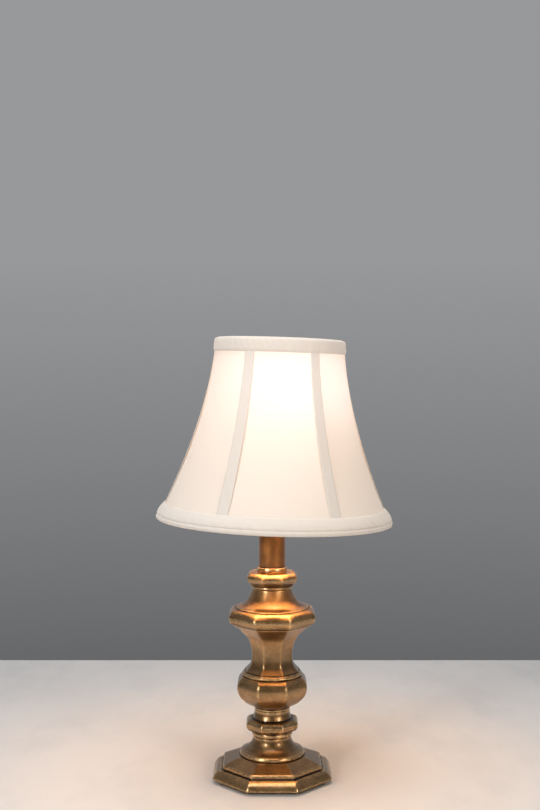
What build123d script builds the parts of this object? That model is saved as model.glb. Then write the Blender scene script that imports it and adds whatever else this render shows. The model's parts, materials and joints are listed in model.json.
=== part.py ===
"""Candlestick lamp: a stack of eight-sided and round brass castings on a threaded tube, a candle tube
with a bulb socket on it, and a six-panel bell shade that clips on the bulb.  Millimetres, +Z up,
origin on the table under the column, front towards -Y."""
import os
from math import atan2, cos, pi, radians, sin, tan

from build123d import *

os.makedirs("parts", exist_ok=True)

# ---- fits -------------------------------------------------------------------------------------
ROD_FIT = 0.3            # rod in the castings' bores, all round
SPIGOT_FIT = 0.15        # a casting's spigot in the core of the one above
TUBE_FIT = 0.1           # candle tube in its ring and on its top plate
SHEET_FIT = 0.2          # socket shell in the cap's skirt, liner in the shell
SHAFT_FIT = 0.06         # switch shaft in the socket body
SCREW_FIT = 0.3          # bulb base in the screw shell, screws in their pockets
SKIN_FIT = 0.1           # cloth on wire
CLIP_FIT = 0.3           # clip wire off the bulb's glass
PART_FIT = 0.1           # plain pieces that lie on each other along a curve

# ---- threaded tube and what it clamps ---------------------------------------------------------
ROD_R = 5.0
ROD_BORE_R = 3.2
CORE_R = 12.0            # round core left inside each casting
CORE_ROOF = 5.0          # metal over the core, which the rod passes
SPIGOT_H = 1.5
FLATS = 8
SOFT_CORNER = 1.068      # corner radius over flat radius: a sharp eight-sided corner is 1.082

# ---- base -------------------------------------------------------------------------------------
PAD_T = 0.8
PAD_W = 3.2
PAD_L = 36.0
BAND_Z = 3.6             # lower edge of the band, on its four bracket feet
BAND_A = 57.6            # flat radius of the band at its widest, low down
BAND_H = 8.8
BAND_EDGE_A = 50.4      # top edge of the band's slanting face
FOOT_A = 53.8
FOOT_GAP = 22.6          # half the gap between two feet
RIDGE_A = 48.0
RIDGE_H = 4.0
SLOPE_A = 33.0
SLOPE_H = 5.9
BASE_CORE_R = 49.5
BASE_CORE_H = 6.2
BASE_ROOF = 4.8
BOSS_R = 14.0
BOSS_H = 3.0
INLET_Z = 8.7
INLET_R = 2.9            # bore that the lead leaves by
BUSHING_WALL = 1.0
BUSHING_LIP = 1.2
BUSHING_FLANGE_R = 5.0
WASHER_R = 11.0
WASHER_T = 1.5
LOCK_R = 8.5
LOCK_T = 1.2
NUT_ACROSS = 14.0
NUT_T = 5.0
ROD_TAIL = 2.0           # rod below the nut

# ---- column, from the base up: heights, then flat radii (A) or round radii (R) -----------------
LOWER_BELL_H = 18.6
LOWER_RIM_R = 31.8
LOWER_RIM_H = 4.0
LOWER_NECK_R = 18.7
LOWER_KNOP_H = 26.0
LOWER_KNOP_A = 25.2
KNOP_BEAD_R = 19.6
KNOP_BEAD_H = 5.4
KNOP_FACET_H = 11.5
SCOTIA_R = 16.6
BALL_H = 33.2
BALL_A = 33.9
BALL_SEAT_A = 29.0
BALL_NECK_A = 18.0
BALL_COLLAR_R = 17.2
BALL_COLLAR_H = 3.0
VASE_H = 50.0
VASE_BEAD_R = 29.4
VASE_BEAD_H = 4.4
VASE_FOOT_A = 26.2
VASE_WAIST_A = 19.3
VASE_TOP_A = 35.0
DRUM_H = 16.7
DRUM_A = 42.1
DRUM_UNDER_A = 36.4
DRUM_LIP_A = 38.6
DRUM_TOP_A = 36.8
UPPER_BELL_H = 18.7
UPPER_RIM_R = 35.8
UPPER_NECK_R = 18.7
CAP_KNOP_H = 16.0
CAP_KNOP_A = 24.6
CAP_BEAD_H = 3.8
CAP_TOP_A = 21.4
RING_H = 5.0
RING_R = 14.5
RING_FLOOR = 1.5
TUBE_R = 12.7
TUBE_WALL = 0.8
TUBE_L = 56.9
PLATE_T = 2.0
PLATE_R = 13.4

# ---- socket, along its own axis from the top plate -----------------------------------------------
SOCKET_LEAN = 3.0        # degrees towards +X, as the socket sits crooked on the tube
NECK_R = 7.5
NECK_GAP = 0.5
NECK_H = 6.5
CAP_R = 17.6
CAP_WALL = 0.8
CAP_H = 21.5
CAP_SKIRT = 5.0
SHELL_R = 16.6
SHELL_WALL = 0.5
SHELL_TOP = 60.0
SHELL_ROLL = 1.5
LINER_WALL = 0.5
BODY_LOW = 19.0
BODY_H = 19.0
SCREW_SHELL_R = 13.9
SCREW_SHELL_WALL = 0.5
SCREW_SHELL_H = 20.3
TONGUE_R = 2.6
TONGUE_HOLE_R = 5.0
TONGUE_H = 2.4
TERMINAL_R = 3.0
TERMINAL_T = 1.8
TERMINAL_SHANK_R = 1.5
TERMINAL_SHANK_L = 5.0
SET_SCREW_R = 1.6
SET_SCREW_L = 3.4
SWITCH_Z = 28.0
SHAFT_R = 2.0
SHAFT_IN = 5.0           # inner end of the switch shaft, from the socket's axis
SHAFT_OUT = 30.0
SHAFT_HOLE_R = 3.0       # in the shell and its liner
KNOB_R = 5.4
KNOB_L = 12.0
KNOB_GAP = 3.4           # knob off the shell
KNOB_FLUTES = 12
FLUTE_R = 0.7

# ---- bulb, along the socket's axis ---------------------------------------------------------------
BULB_GAP = 0.4           # tip of the bulb over the tongue
BULB_L = 108.0
GLOBE_R = 30.0
GLASS_WALL = 0.9
TIP_R = 3.2
TIP_H = 1.4
INSULATOR_R = 9.0
INSULATOR_H = 3.6
BULB_BASE_L = 20.0
BULB_BASE_FLARE = 0.6
BULB_BASE_WALL = 0.5
GLASS_NECK_R = 12.8
NECK_BLEND = 40.0        # degrees below the globe's middle where the neck leaves it
STEM_R = 4.0
STEM_H = 42.0
FILAMENT_SPAN = 22.0
FILAMENT_R = 0.5
SUPPORT_R = 0.4
SUPPORT_H = 14.0

# ---- shade, along its own axis, through the middle of the globe ----------------------------------
SHADE_LEAN = 1.9         # degrees towards +X
SHADE_TURN = 2.4         # degrees, turn of the frame about its axis
SHADE_H = 177.8
SHADE_BELOW = 129.0      # lower edge below the globe's middle
SHADE_TOP_R = 62.3
SHADE_BOTTOM_R = 113.6
FLARE = 1.62             # power of the bell's curve
RIBS = 6
PANEL_DRAW = 0.06        # how far a panel's middle is drawn in, over its radius
LEVELS = 8
COVER_T = 0.8
LINING_T = 0.5
RING_WIRE_R = 1.5
RIB_WIRE_R = 1.25
TAPE_W = 9.0
TAPE_T = 0.6
TOP_TRIM_H = 14.0
TOP_TRIM_T = 1.8
BOTTOM_TRIM_H = 13.2
BOTTOM_TRIM_T = 2.1
TRIM_LIP_H = 6.0
TRIM_LIP_T = 0.6
CLIP_WIRE_R = 0.8
CLIP_LOOP_R = 19.0
CLIP_SLEEVE_R = 1.0      # sleeve that the bow is brazed to each loop with
CLIP_SLEEVE_L = 2.8
CLIP_BOW_STEPS = 8       # points that the bow's curve runs through, less one
CROSS_WIRE_R = 1.5
CROSS_FLAT = 50.0        # half of the cross wire's level stretch
CROSS_BEND_R = 6.0

# ---- where the pieces stand ----------------------------------------------------------------------
BASE_TOP = BAND_Z + BAND_H + RIDGE_H + SLOPE_H
KNOP_Z = BASE_TOP + LOWER_BELL_H
BALL_Z = KNOP_Z + LOWER_KNOP_H
VASE_Z = BALL_Z + BALL_H
DRUM_Z = VASE_Z + VASE_H
BELL_Z = DRUM_Z + DRUM_H
CAP_Z = BELL_Z + UPPER_BELL_H
RING_Z = CAP_Z + CAP_KNOP_H
TUBE_Z = RING_Z + RING_FLOOR
PLATE_Z = TUBE_Z + TUBE_L
SEAT_Z = PLATE_Z + PLATE_T

BOSS_Z = BASE_TOP - BASE_ROOF - BOSS_H
WASHER_Z = BOSS_Z - WASHER_T
LOCK_Z = WASHER_Z - LOCK_T
NUT_Z = LOCK_Z - NUT_T

BORE_R = ROD_R + ROD_FIT
SPIGOT_R = CORE_R - SPIGOT_FIT
BODY_R = SHELL_R - SHELL_WALL - LINER_WALL - 2 * SHEET_FIT
SCREW_SHELL_Z = BODY_LOW + BODY_H
BULB_Z = SCREW_SHELL_Z + TONGUE_H + BULB_GAP
BULB_BASE_R = SCREW_SHELL_R - SCREW_SHELL_WALL - SCREW_FIT - 2 * PART_FIT
BULB_BASE_Z = BULB_Z + TIP_H + INSULATOR_H
GLASS_Z = BULB_BASE_Z + BULB_BASE_L
GLOBE_Z = BULB_Z + BULB_L - GLOBE_R


def direction(lean, turn=0.0):
    """Axis of a frame that leans towards +X, and its own X, turned about that axis."""
    up = Vector(sin(radians(lean)), 0, cos(radians(lean)))
    side = Vector(cos(radians(lean)), 0, -sin(radians(lean)))
    return up, side.rotate(Axis((0, 0, 0), up), turn)


SOCKET_UP, SOCKET_SIDE = direction(SOCKET_LEAN)
SHADE_UP, SHADE_SIDE = direction(SHADE_LEAN, SHADE_TURN)
socket_frame = Plane((0, 0, SEAT_Z), x_dir=SOCKET_SIDE, z_dir=SOCKET_UP)
globe = Vector(0, 0, SEAT_Z) + SOCKET_UP * GLOBE_Z
shade_frame = Plane(globe, x_dir=SHADE_SIDE, z_dir=SHADE_UP)
socket_axis = Axis(socket_frame.origin, SOCKET_UP)
shade_axis = Axis(globe, SHADE_UP)


# ---- drawing aids -------------------------------------------------------------------------------
def upright(frame):
    """The drawing plane through a frame's axis: X is the radius, Y runs up the axis."""
    return Plane(frame.origin, x_dir=frame.x_dir, z_dir=-frame.y_dir)


def turned(frame, turn):
    """A frame turned about its own axis."""
    side = frame.x_dir.rotate(Axis((0, 0, 0), frame.z_dir), turn)
    return Plane(frame.origin, x_dir=side, z_dir=frame.z_dir)


def side_plane(height, turn=0):
    """An upright plane through the lamp's axis, its foot at a height, turned about the axis."""
    a = radians(turn)
    return Plane((0, 0, height), x_dir=(cos(a), sin(a), 0), z_dir=(sin(a), -cos(a), 0))


def half_outline(runs, widen=1.0):
    """Half of a side view: each run of (radius, height) points is a line, an arc or a smooth curve,
    and the axis shuts the shape."""
    wide = [[(r * widen, z) for r, z in run] for run in runs]
    low, high = wide[0][0], wide[-1][-1]
    with BuildSketch() as half:
        with BuildLine():
            for run in wide:
                if len(run) == 2:
                    Line(*run)
                elif len(run) == 3:
                    ThreePointArc(*run)
                else:
                    Spline(*run)
            Polyline(high, (0, high[1]), (0, low[1]), low)
        make_face()
    return half.sketch


def cut_flats(runs, height):
    """Eight flats: the metal that lies inside the same side view from four directions, with the
    corners between the flats rounded off by a turned outline a little wider than the flats."""
    half = half_outline(runs)
    whole = half + mirror(half, about=Plane.YZ, mode=Mode.PRIVATE)
    reach = 2 * BAND_A
    for turn in range(0, 180, 360 // FLATS):
        keep = Mode.INTERSECT if turn else Mode.ADD
        extrude(side_plane(height, turn) * whole, amount=reach, both=True, mode=keep)
    soft = side_plane(height) * half_outline(runs, SOFT_CORNER)
    revolve(soft, axis=Axis.Z, mode=Mode.INTERSECT)


def turn_round(runs, height, mode=Mode.ADD):
    """A turned stretch of a casting, from its half outline."""
    revolve(side_plane(height) * half_outline(runs), axis=Axis.Z, mode=mode)


def core_and_bore(low, high, spigot=True):
    """The round core from below, the bore for the rod through the roof, and the spigot on top."""
    if spigot:
        turn_round([[(SPIGOT_R, 0), (SPIGOT_R, SPIGOT_H)]], high)
    turn_round([[(CORE_R, 0), (CORE_R, high - CORE_ROOF - low)]], low, Mode.SUBTRACT)
    turn_round([[(BORE_R, 0), (BORE_R, high + SPIGOT_H - low)]], low, Mode.SUBTRACT)


def finish(part, name):
    """Names a finished piece and writes it."""
    part.label = name
    export_step(part, f"parts/{name}.step")


# ---- base: eight-sided, hollow below, on four bracket feet ---------------------------------------
band = [
    [(BAND_A - 0.3, 0), (BAND_A, 0.11 * BAND_H)],
    [(BAND_A, 0.11 * BAND_H), (BAND_A - 1.4, 0.45 * BAND_H), (BAND_A - 4.0, 0.78 * BAND_H),
     (BAND_EDGE_A, BAND_H)],
    [(BAND_EDGE_A, BAND_H), (RIDGE_A, BAND_H)],
    [(RIDGE_A, BAND_H), (RIDGE_A, BAND_H + 0.7 * RIDGE_H)],
    [(RIDGE_A, BAND_H + 0.7 * RIDGE_H), (RIDGE_A - 0.3, BAND_H + 0.9 * RIDGE_H),
     (RIDGE_A - 0.9, BAND_H + RIDGE_H)],
    [(RIDGE_A - 0.9, BAND_H + RIDGE_H), (SLOPE_A, BASE_TOP - BAND_Z)],
]
base_core = [
    [(BASE_CORE_R, 0), (BASE_CORE_R, BAND_Z + BASE_CORE_H)],
    [(BASE_CORE_R, BAND_Z + BASE_CORE_H), (2 * BOSS_R, BASE_TOP - BASE_ROOF)],
]
with BuildPart() as base_foot:
    cut_flats(band, BAND_Z)
    with BuildSketch(Plane.XY.offset(PAD_T)):
        RegularPolygon(FOOT_A, FLATS, major_radius=False, rotation=180 / FLATS)
        Rectangle(2 * FOOT_GAP, 3 * FOOT_A, mode=Mode.SUBTRACT)
        Rectangle(3 * FOOT_A, 2 * FOOT_GAP, mode=Mode.SUBTRACT)
    extrude(amount=BAND_Z - PAD_T)
    turn_round(base_core, 0, Mode.SUBTRACT)
    turn_round([[(BOSS_R, 0), (BOSS_R, BOSS_H)]], BOSS_Z)
    turn_round([[(SPIGOT_R, 0), (SPIGOT_R, SPIGOT_H)]], BASE_TOP)
    turn_round([[(BORE_R, 0), (BORE_R, 2 * BASE_TOP)]], 0, Mode.SUBTRACT)
    with BuildSketch(Plane.XZ.offset(-BASE_CORE_R / 2)):
        with Locations((0, INLET_Z)):
            Circle(INLET_R + BUSHING_WALL + PART_FIT)
    extrude(amount=-BAND_A, mode=Mode.SUBTRACT)
finish(base_foot.part, "base_foot")

with BuildPart() as foot_pads:
    with BuildSketch():
        with PolarLocations((FOOT_A + BASE_CORE_R) / 2, 4, start_angle=45):
            Rectangle(PAD_W, PAD_L)
    extrude(amount=PAD_T)
finish(foot_pads.part, "foot_pads")

BUSHING_IN = BASE_CORE_R - 0.5
BUSHING_OUT = BAND_A + PART_FIT
with BuildPart() as cord_bushing:
    with BuildSketch(Plane.XZ.offset(-BUSHING_IN)):
        with Locations((0, INLET_Z)):
            Circle(INLET_R + BUSHING_WALL)
    extrude(amount=-(BUSHING_OUT + BUSHING_LIP - BUSHING_IN))
    with BuildSketch(Plane.XZ.offset(-BUSHING_OUT)):
        with Locations((0, INLET_Z)):
            Circle(BUSHING_FLANGE_R)
    extrude(amount=-BUSHING_LIP)
    fillet(cord_bushing.edges().filter_by(GeomType.CIRCLE).sort_by(Axis.Y)[-1], BUSHING_LIP / 2)
    with BuildSketch(Plane.XZ.offset(-BUSHING_IN)):
        with Locations((0, INLET_Z)):
            Circle(INLET_R)
    extrude(amount=-(BUSHING_OUT + BUSHING_LIP - BUSHING_IN), mode=Mode.SUBTRACT)
finish(cord_bushing.part, "cord_bushing")

# ---- threaded tube, and the washers and nut that clamp the stack under the base -----------------
with BuildPart() as threaded_rod:
    with BuildSketch(Plane.XY.offset(NUT_Z - ROD_TAIL)):
        Circle(ROD_R)
        Circle(ROD_BORE_R, mode=Mode.SUBTRACT)
    extrude(amount=SEAT_Z + NECK_GAP + NECK_H - NUT_Z + ROD_TAIL)
    chamfer(threaded_rod.edges().filter_by(GeomType.CIRCLE).sort_by(Axis.Z)[0], 0.4)
finish(threaded_rod.part, "threaded_rod")

with BuildPart() as base_washer:
    with BuildSketch(Plane.XY.offset(WASHER_Z)):
        Circle(WASHER_R)
        Circle(BORE_R, mode=Mode.SUBTRACT)
    extrude(amount=WASHER_T)
finish(base_washer.part, "base_washer")

with BuildPart() as lock_washer:
    with BuildSketch(Plane.XY.offset(LOCK_Z)):
        Circle(LOCK_R)
        Circle(BORE_R, mode=Mode.SUBTRACT)
        with Locations((LOCK_R, 0)):
            Rectangle(2 * LOCK_R, LOCK_T, mode=Mode.SUBTRACT)
    extrude(amount=LOCK_T)
finish(lock_washer.part, "lock_washer")

with BuildPart() as bottom_nut:
    with BuildSketch(Plane.XY.offset(NUT_Z)):
        RegularPolygon(NUT_ACROSS / 2, 6, major_radius=False)
        Circle(ROD_R + SHAFT_FIT, mode=Mode.SUBTRACT)
    extrude(amount=NUT_T)
finish(bottom_nut.part, "bottom_nut")

# ---- lower bell: round, a rim that stands on the base and a flare up to the neck ----------------
flare = LOWER_RIM_R - LOWER_NECK_R
rise = LOWER_BELL_H - LOWER_RIM_H
with BuildPart() as lower_bell:
    turn_round([
        [(LOWER_RIM_R - 0.6, 0), (LOWER_RIM_R, 0.45 * LOWER_RIM_H), (LOWER_RIM_R - 0.6, LOWER_RIM_H)],
        [(LOWER_RIM_R - 0.6, LOWER_RIM_H), (LOWER_NECK_R + 0.57 * flare, LOWER_RIM_H + 0.23 * rise),
         (LOWER_NECK_R + 0.22 * flare, LOWER_RIM_H + 0.52 * rise),
         (LOWER_NECK_R, LOWER_RIM_H + 0.84 * rise)],
        [(LOWER_NECK_R, LOWER_RIM_H + 0.84 * rise), (LOWER_NECK_R, LOWER_BELL_H)],
    ], BASE_TOP)
    core_and_bore(BASE_TOP, KNOP_Z)
finish(lower_bell.part, "lower_bell")

# ---- lower knop: a bead, eight flats, and a round scotia above ----------------------------------
knop_top = KNOP_BEAD_H + KNOP_FACET_H
with BuildPart() as lower_knop:
    cut_flats([
        [(KNOP_BEAD_R + 0.3, KNOP_BEAD_H), (LOWER_KNOP_A - 2.1, KNOP_BEAD_H + 0.32 * KNOP_FACET_H),
         (LOWER_KNOP_A - 0.2, KNOP_BEAD_H + 0.56 * KNOP_FACET_H)],
        [(LOWER_KNOP_A - 0.2, KNOP_BEAD_H + 0.56 * KNOP_FACET_H),
         (LOWER_KNOP_A, KNOP_BEAD_H + 0.74 * KNOP_FACET_H)],
        [(LOWER_KNOP_A, KNOP_BEAD_H + 0.74 * KNOP_FACET_H), (LOWER_KNOP_A - 1.4, knop_top - 0.8),
         (KNOP_BEAD_R + 0.8, knop_top)],
    ], KNOP_Z)
    turn_round([
        [(LOWER_NECK_R - 0.2, 0), (KNOP_BEAD_R, 0.14 * KNOP_BEAD_H)],
        [(KNOP_BEAD_R, 0.14 * KNOP_BEAD_H), (KNOP_BEAD_R + 0.5, 0.57 * KNOP_BEAD_H),
         (KNOP_BEAD_R - 0.1, KNOP_BEAD_H)],
    ], KNOP_Z)
    turn_round([
        [(KNOP_BEAD_R, 0), (SCOTIA_R + 0.9, 0.3 * (LOWER_KNOP_H - knop_top)),
         (SCOTIA_R, 0.62 * (LOWER_KNOP_H - knop_top))],
        [(SCOTIA_R, 0.62 * (LOWER_KNOP_H - knop_top)), (SCOTIA_R, LOWER_KNOP_H - knop_top)],
    ], KNOP_Z + knop_top)
    core_and_bore(KNOP_Z, BALL_Z)
finish(lower_knop.part, "lower_knop")

# ---- ball knop: a round collar under an eight-sided bulb ----------------------------------------
ball_rise = BALL_H - BALL_COLLAR_H
ball_out = BALL_A - BALL_NECK_A
with BuildPart() as ball_knop:
    cut_flats([
        [(BALL_NECK_A, BALL_COLLAR_H), (BALL_NECK_A + 0.40 * ball_out, BALL_COLLAR_H + 0.18 * ball_rise),
         (BALL_NECK_A + 0.83 * ball_out, BALL_COLLAR_H + 0.45 * ball_rise),
         (BALL_A, BALL_COLLAR_H + 0.70 * ball_rise),
         (BALL_SEAT_A + 0.66 * (BALL_A - BALL_SEAT_A), BALL_COLLAR_H + 0.89 * ball_rise),
         (BALL_SEAT_A, BALL_H)],
    ], BALL_Z)
    turn_round([
        [(BALL_COLLAR_R, 0), (BALL_COLLAR_R + 0.5, 0.5 * BALL_COLLAR_H), (BALL_COLLAR_R, BALL_COLLAR_H)],
    ], BALL_Z)
    core_and_bore(BALL_Z, VASE_Z)
finish(ball_knop.part, "ball_knop")

# ---- vase: a round bead at the foot, eight flats drawn in to a waist and flared to the drum -----
vase_rise = VASE_H - VASE_BEAD_H
with BuildPart() as vase:
    cut_flats([
        [(VASE_FOOT_A, VASE_BEAD_H - 0.6),
         (VASE_WAIST_A + 0.25 * (VASE_FOOT_A - VASE_WAIST_A), VASE_BEAD_H + 0.13 * vase_rise),
         (VASE_WAIST_A, VASE_BEAD_H + 0.37 * vase_rise),
         (VASE_WAIST_A + 0.22 * (VASE_TOP_A - VASE_WAIST_A), VASE_BEAD_H + 0.72 * vase_rise),
         (VASE_WAIST_A + 0.70 * (VASE_TOP_A - VASE_WAIST_A), VASE_BEAD_H + 0.93 * vase_rise),
         (VASE_TOP_A, VASE_H)],
    ], VASE_Z)
    turn_round([
        [(VASE_BEAD_R - 1.2, 0), (VASE_BEAD_R, 0.45 * VASE_BEAD_H), (VASE_BEAD_R - 1.6, VASE_BEAD_H)],
    ], VASE_Z)
    core_and_bore(VASE_Z, DRUM_Z)
finish(vase.part, "vase")

# ---- drum: the wide eight-sided flange under the upper bell -------------------------------------
with BuildPart() as flange_drum:
    cut_flats([
        [(DRUM_UNDER_A, 0), (DRUM_UNDER_A + 0.8, 0.09 * DRUM_H), (DRUM_LIP_A, 0.15 * DRUM_H)],
        [(DRUM_LIP_A, 0.15 * DRUM_H), (DRUM_A - 1.1, 0.2 * DRUM_H)],
        [(DRUM_A - 1.1, 0.2 * DRUM_H), (DRUM_A, 0.5 * DRUM_H), (DRUM_A - 1.1, 0.82 * DRUM_H)],
        [(DRUM_A - 1.1, 0.82 * DRUM_H), (DRUM_A - 2.3, 0.95 * DRUM_H), (DRUM_TOP_A, DRUM_H)],
    ], DRUM_Z)
    core_and_bore(DRUM_Z, BELL_Z)
finish(flange_drum.part, "flange_drum")

# ---- upper bell: round, a wide flare up to the neck ---------------------------------------------
flare = UPPER_RIM_R - UPPER_NECK_R
with BuildPart() as upper_bell:
    turn_round([
        [(UPPER_RIM_R, 0), (UPPER_RIM_R, 0.03 * UPPER_BELL_H)],
        [(UPPER_RIM_R, 0.03 * UPPER_BELL_H), (UPPER_NECK_R + 0.50 * flare, 0.17 * UPPER_BELL_H),
         (UPPER_NECK_R + 0.29 * flare, 0.40 * UPPER_BELL_H),
         (UPPER_NECK_R + 0.13 * flare, 0.70 * UPPER_BELL_H),
         (UPPER_NECK_R, 0.97 * UPPER_BELL_H)],
        [(UPPER_NECK_R, 0.97 * UPPER_BELL_H), (UPPER_NECK_R, UPPER_BELL_H)],
    ], BELL_Z)
    core_and_bore(BELL_Z, CAP_Z)
finish(upper_bell.part, "upper_bell")

# ---- cap knop: a bead and eight flats under the tube's ring -------------------------------------
cap_rise = CAP_KNOP_H - CAP_BEAD_H
with BuildPart() as cap_knop:
    cut_flats([
        [(UPPER_NECK_R + 1.4, CAP_BEAD_H), (CAP_KNOP_A - 1.6, CAP_BEAD_H + 0.26 * cap_rise),
         (CAP_KNOP_A, CAP_BEAD_H + 0.55 * cap_rise)],
        [(CAP_KNOP_A, CAP_BEAD_H + 0.55 * cap_rise), (CAP_KNOP_A - 0.3, CAP_BEAD_H + 0.84 * cap_rise),
         (CAP_TOP_A, CAP_KNOP_H)],
    ], CAP_Z)
    turn_round([
        [(UPPER_NECK_R, 0), (UPPER_NECK_R + 1.2, 0.5 * CAP_BEAD_H), (UPPER_NECK_R + 0.6, CAP_BEAD_H)],
    ], CAP_Z)
    core_and_bore(CAP_Z, RING_Z, spigot=False)
finish(cap_knop.part, "cap_knop")

# ---- ring, candle tube and its top plate --------------------------------------------------------
with BuildPart() as tube_ring:
    turn_round([
        [(RING_R - 0.5, 0), (RING_R, 0.5 * RING_H), (RING_R - 0.5, RING_H)],
    ], RING_Z)
    turn_round([[(TUBE_R + TUBE_FIT, 0), (TUBE_R + TUBE_FIT, RING_H)]], TUBE_Z, Mode.SUBTRACT)
    turn_round([[(BORE_R, 0), (BORE_R, RING_H)]], RING_Z, Mode.SUBTRACT)
finish(tube_ring.part, "tube_ring")

with BuildPart() as candle_tube:
    with BuildSketch(Plane.XY.offset(TUBE_Z)):
        Circle(TUBE_R)
        Circle(TUBE_R - TUBE_WALL, mode=Mode.SUBTRACT)
    extrude(amount=TUBE_L)
finish(candle_tube.part, "candle_tube")

with BuildPart() as top_plate:
    turn_round([
        [(TUBE_R - TUBE_WALL - TUBE_FIT, -PLATE_T), (TUBE_R - TUBE_WALL - TUBE_FIT, 0)],
        [(TUBE_R - TUBE_WALL - TUBE_FIT, 0), (PLATE_R, 0)],
        [(PLATE_R, 0), (PLATE_R, PLATE_T)],
    ], PLATE_Z)
    turn_round([[(BORE_R, -PLATE_T), (BORE_R, PLATE_T)]], PLATE_Z, Mode.SUBTRACT)
finish(top_plate.part, "top_plate")

# ---- socket cap: drawn brass cup, its neck over the end of the rod ------------------------------
neck_bore = BORE_R + NECK_H * tan(radians(SOCKET_LEAN))
skirt_z = CAP_H - CAP_SKIRT
dome_z = NECK_GAP + NECK_H
with BuildPart() as socket_cap:
    with BuildSketch(upright(socket_frame)):
        with BuildLine():
            Polyline((neck_bore, dome_z + CAP_WALL), (neck_bore, NECK_GAP), (NECK_R, NECK_GAP),
                     (NECK_R, dome_z))
            ThreePointArc((NECK_R, dome_z), (0.83 * CAP_R, dome_z + 0.3 * (skirt_z - dome_z)),
                          (CAP_R, skirt_z))
            Polyline((CAP_R, skirt_z), (CAP_R, CAP_H), (CAP_R - CAP_WALL, CAP_H),
                     (CAP_R - CAP_WALL, skirt_z))
            ThreePointArc((CAP_R - CAP_WALL, skirt_z),
                          (0.83 * CAP_R - 0.7 * CAP_WALL, dome_z + 0.3 * (skirt_z - dome_z) + 0.7 * CAP_WALL),
                          (NECK_R, dome_z + CAP_WALL))
            Line((NECK_R, dome_z + CAP_WALL), (neck_bore, dome_z + CAP_WALL))
        make_face()
    revolve(axis=socket_axis)
    with BuildSketch(Plane(socket_frame.from_local_coords((0, 0, NECK_GAP + NECK_H / 2)),
                           x_dir=socket_frame.x_dir, z_dir=-socket_frame.y_dir)):
        Circle(SET_SCREW_R + SHAFT_FIT)
    extrude(amount=CAP_R, mode=Mode.SUBTRACT)
finish(socket_cap.part, "socket_cap")

with BuildPart() as cap_set_screw:
    with BuildSketch(Plane(socket_frame.from_local_coords((0, -BORE_R, NECK_GAP + NECK_H / 2)),
                           x_dir=socket_frame.x_dir, z_dir=-socket_frame.y_dir)):
        Circle(SET_SCREW_R)
    extrude(amount=SET_SCREW_L)
finish(cap_set_screw.part, "cap_set_screw")

# ---- socket body, its two terminal screws, the screw shell and the contact tongue ---------------
switch_plane = Plane(socket_frame.from_local_coords((0, 0, SWITCH_Z)),
                     x_dir=-socket_frame.x_dir, z_dir=socket_frame.y_dir)
terminal_planes = [
    Plane(socket_frame.from_local_coords((way * (BODY_R - TERMINAL_T - 1.0), 0, SWITCH_Z)),
          x_dir=socket_frame.y_dir, z_dir=socket_frame.x_dir * way)
    for way in (1, -1)
]
with BuildPart() as socket_body:
    with BuildSketch(socket_frame.offset(BODY_LOW)):
        Circle(BODY_R)
    extrude(amount=BODY_H)
    with BuildSketch(switch_plane.offset(SHAFT_IN - PART_FIT)):
        Circle(SHAFT_R + SHAFT_FIT)
    extrude(amount=BODY_R, mode=Mode.SUBTRACT)
    for plane in terminal_planes:
        with BuildSketch(plane):
            Circle(TERMINAL_R + SCREW_FIT)
        extrude(amount=BODY_R, mode=Mode.SUBTRACT)
        with BuildSketch(plane.offset(-TERMINAL_SHANK_L)):
            Circle(TERMINAL_SHANK_R + SHAFT_FIT)
        extrude(amount=TERMINAL_SHANK_L, mode=Mode.SUBTRACT)
finish(socket_body.part, "socket_body")

with BuildPart() as terminal_screws:
    for plane in terminal_planes:
        with BuildSketch(plane):
            Circle(TERMINAL_R)
        extrude(amount=TERMINAL_T)
        with BuildSketch(plane.offset(-TERMINAL_SHANK_L)):
            Circle(TERMINAL_SHANK_R)
        extrude(amount=TERMINAL_SHANK_L)
finish(terminal_screws.part, "terminal_screws")

with BuildPart() as screw_shell:
    with BuildSketch(socket_frame.offset(SCREW_SHELL_Z)):
        Circle(SCREW_SHELL_R)
    extrude(amount=SCREW_SHELL_H)
    with BuildSketch(socket_frame.offset(SCREW_SHELL_Z + SCREW_SHELL_WALL)):
        Circle(SCREW_SHELL_R - SCREW_SHELL_WALL)
    extrude(amount=SCREW_SHELL_H, mode=Mode.SUBTRACT)
    with BuildSketch(socket_frame.offset(SCREW_SHELL_Z)):
        Circle(TONGUE_HOLE_R)
    extrude(amount=SCREW_SHELL_H, mode=Mode.SUBTRACT)
finish(screw_shell.part, "screw_shell")

with BuildPart() as center_contact:
    with BuildSketch(socket_frame.offset(SCREW_SHELL_Z)):
        Circle(TONGUE_R)
    extrude(amount=TONGUE_H)
    fillet(center_contact.faces().sort_by(socket_axis)[-1].edges(), TONGUE_H / 3)
finish(center_contact.part, "center_contact")

# ---- insulating liner and outer shell -----------------------------------------------------------
liner_r = SHELL_R - SHELL_WALL - SHEET_FIT
with BuildPart() as socket_liner:
    with BuildSketch(socket_frame.offset(BODY_LOW - 1.0)):
        Circle(liner_r)
        Circle(liner_r - LINER_WALL, mode=Mode.SUBTRACT)
    extrude(amount=SHELL_TOP - 2 * SHELL_ROLL - BODY_LOW)
    with BuildSketch(switch_plane):
        Circle(SHAFT_HOLE_R)
    extrude(amount=2 * SHELL_R, mode=Mode.SUBTRACT)
finish(socket_liner.part, "socket_liner")

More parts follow.
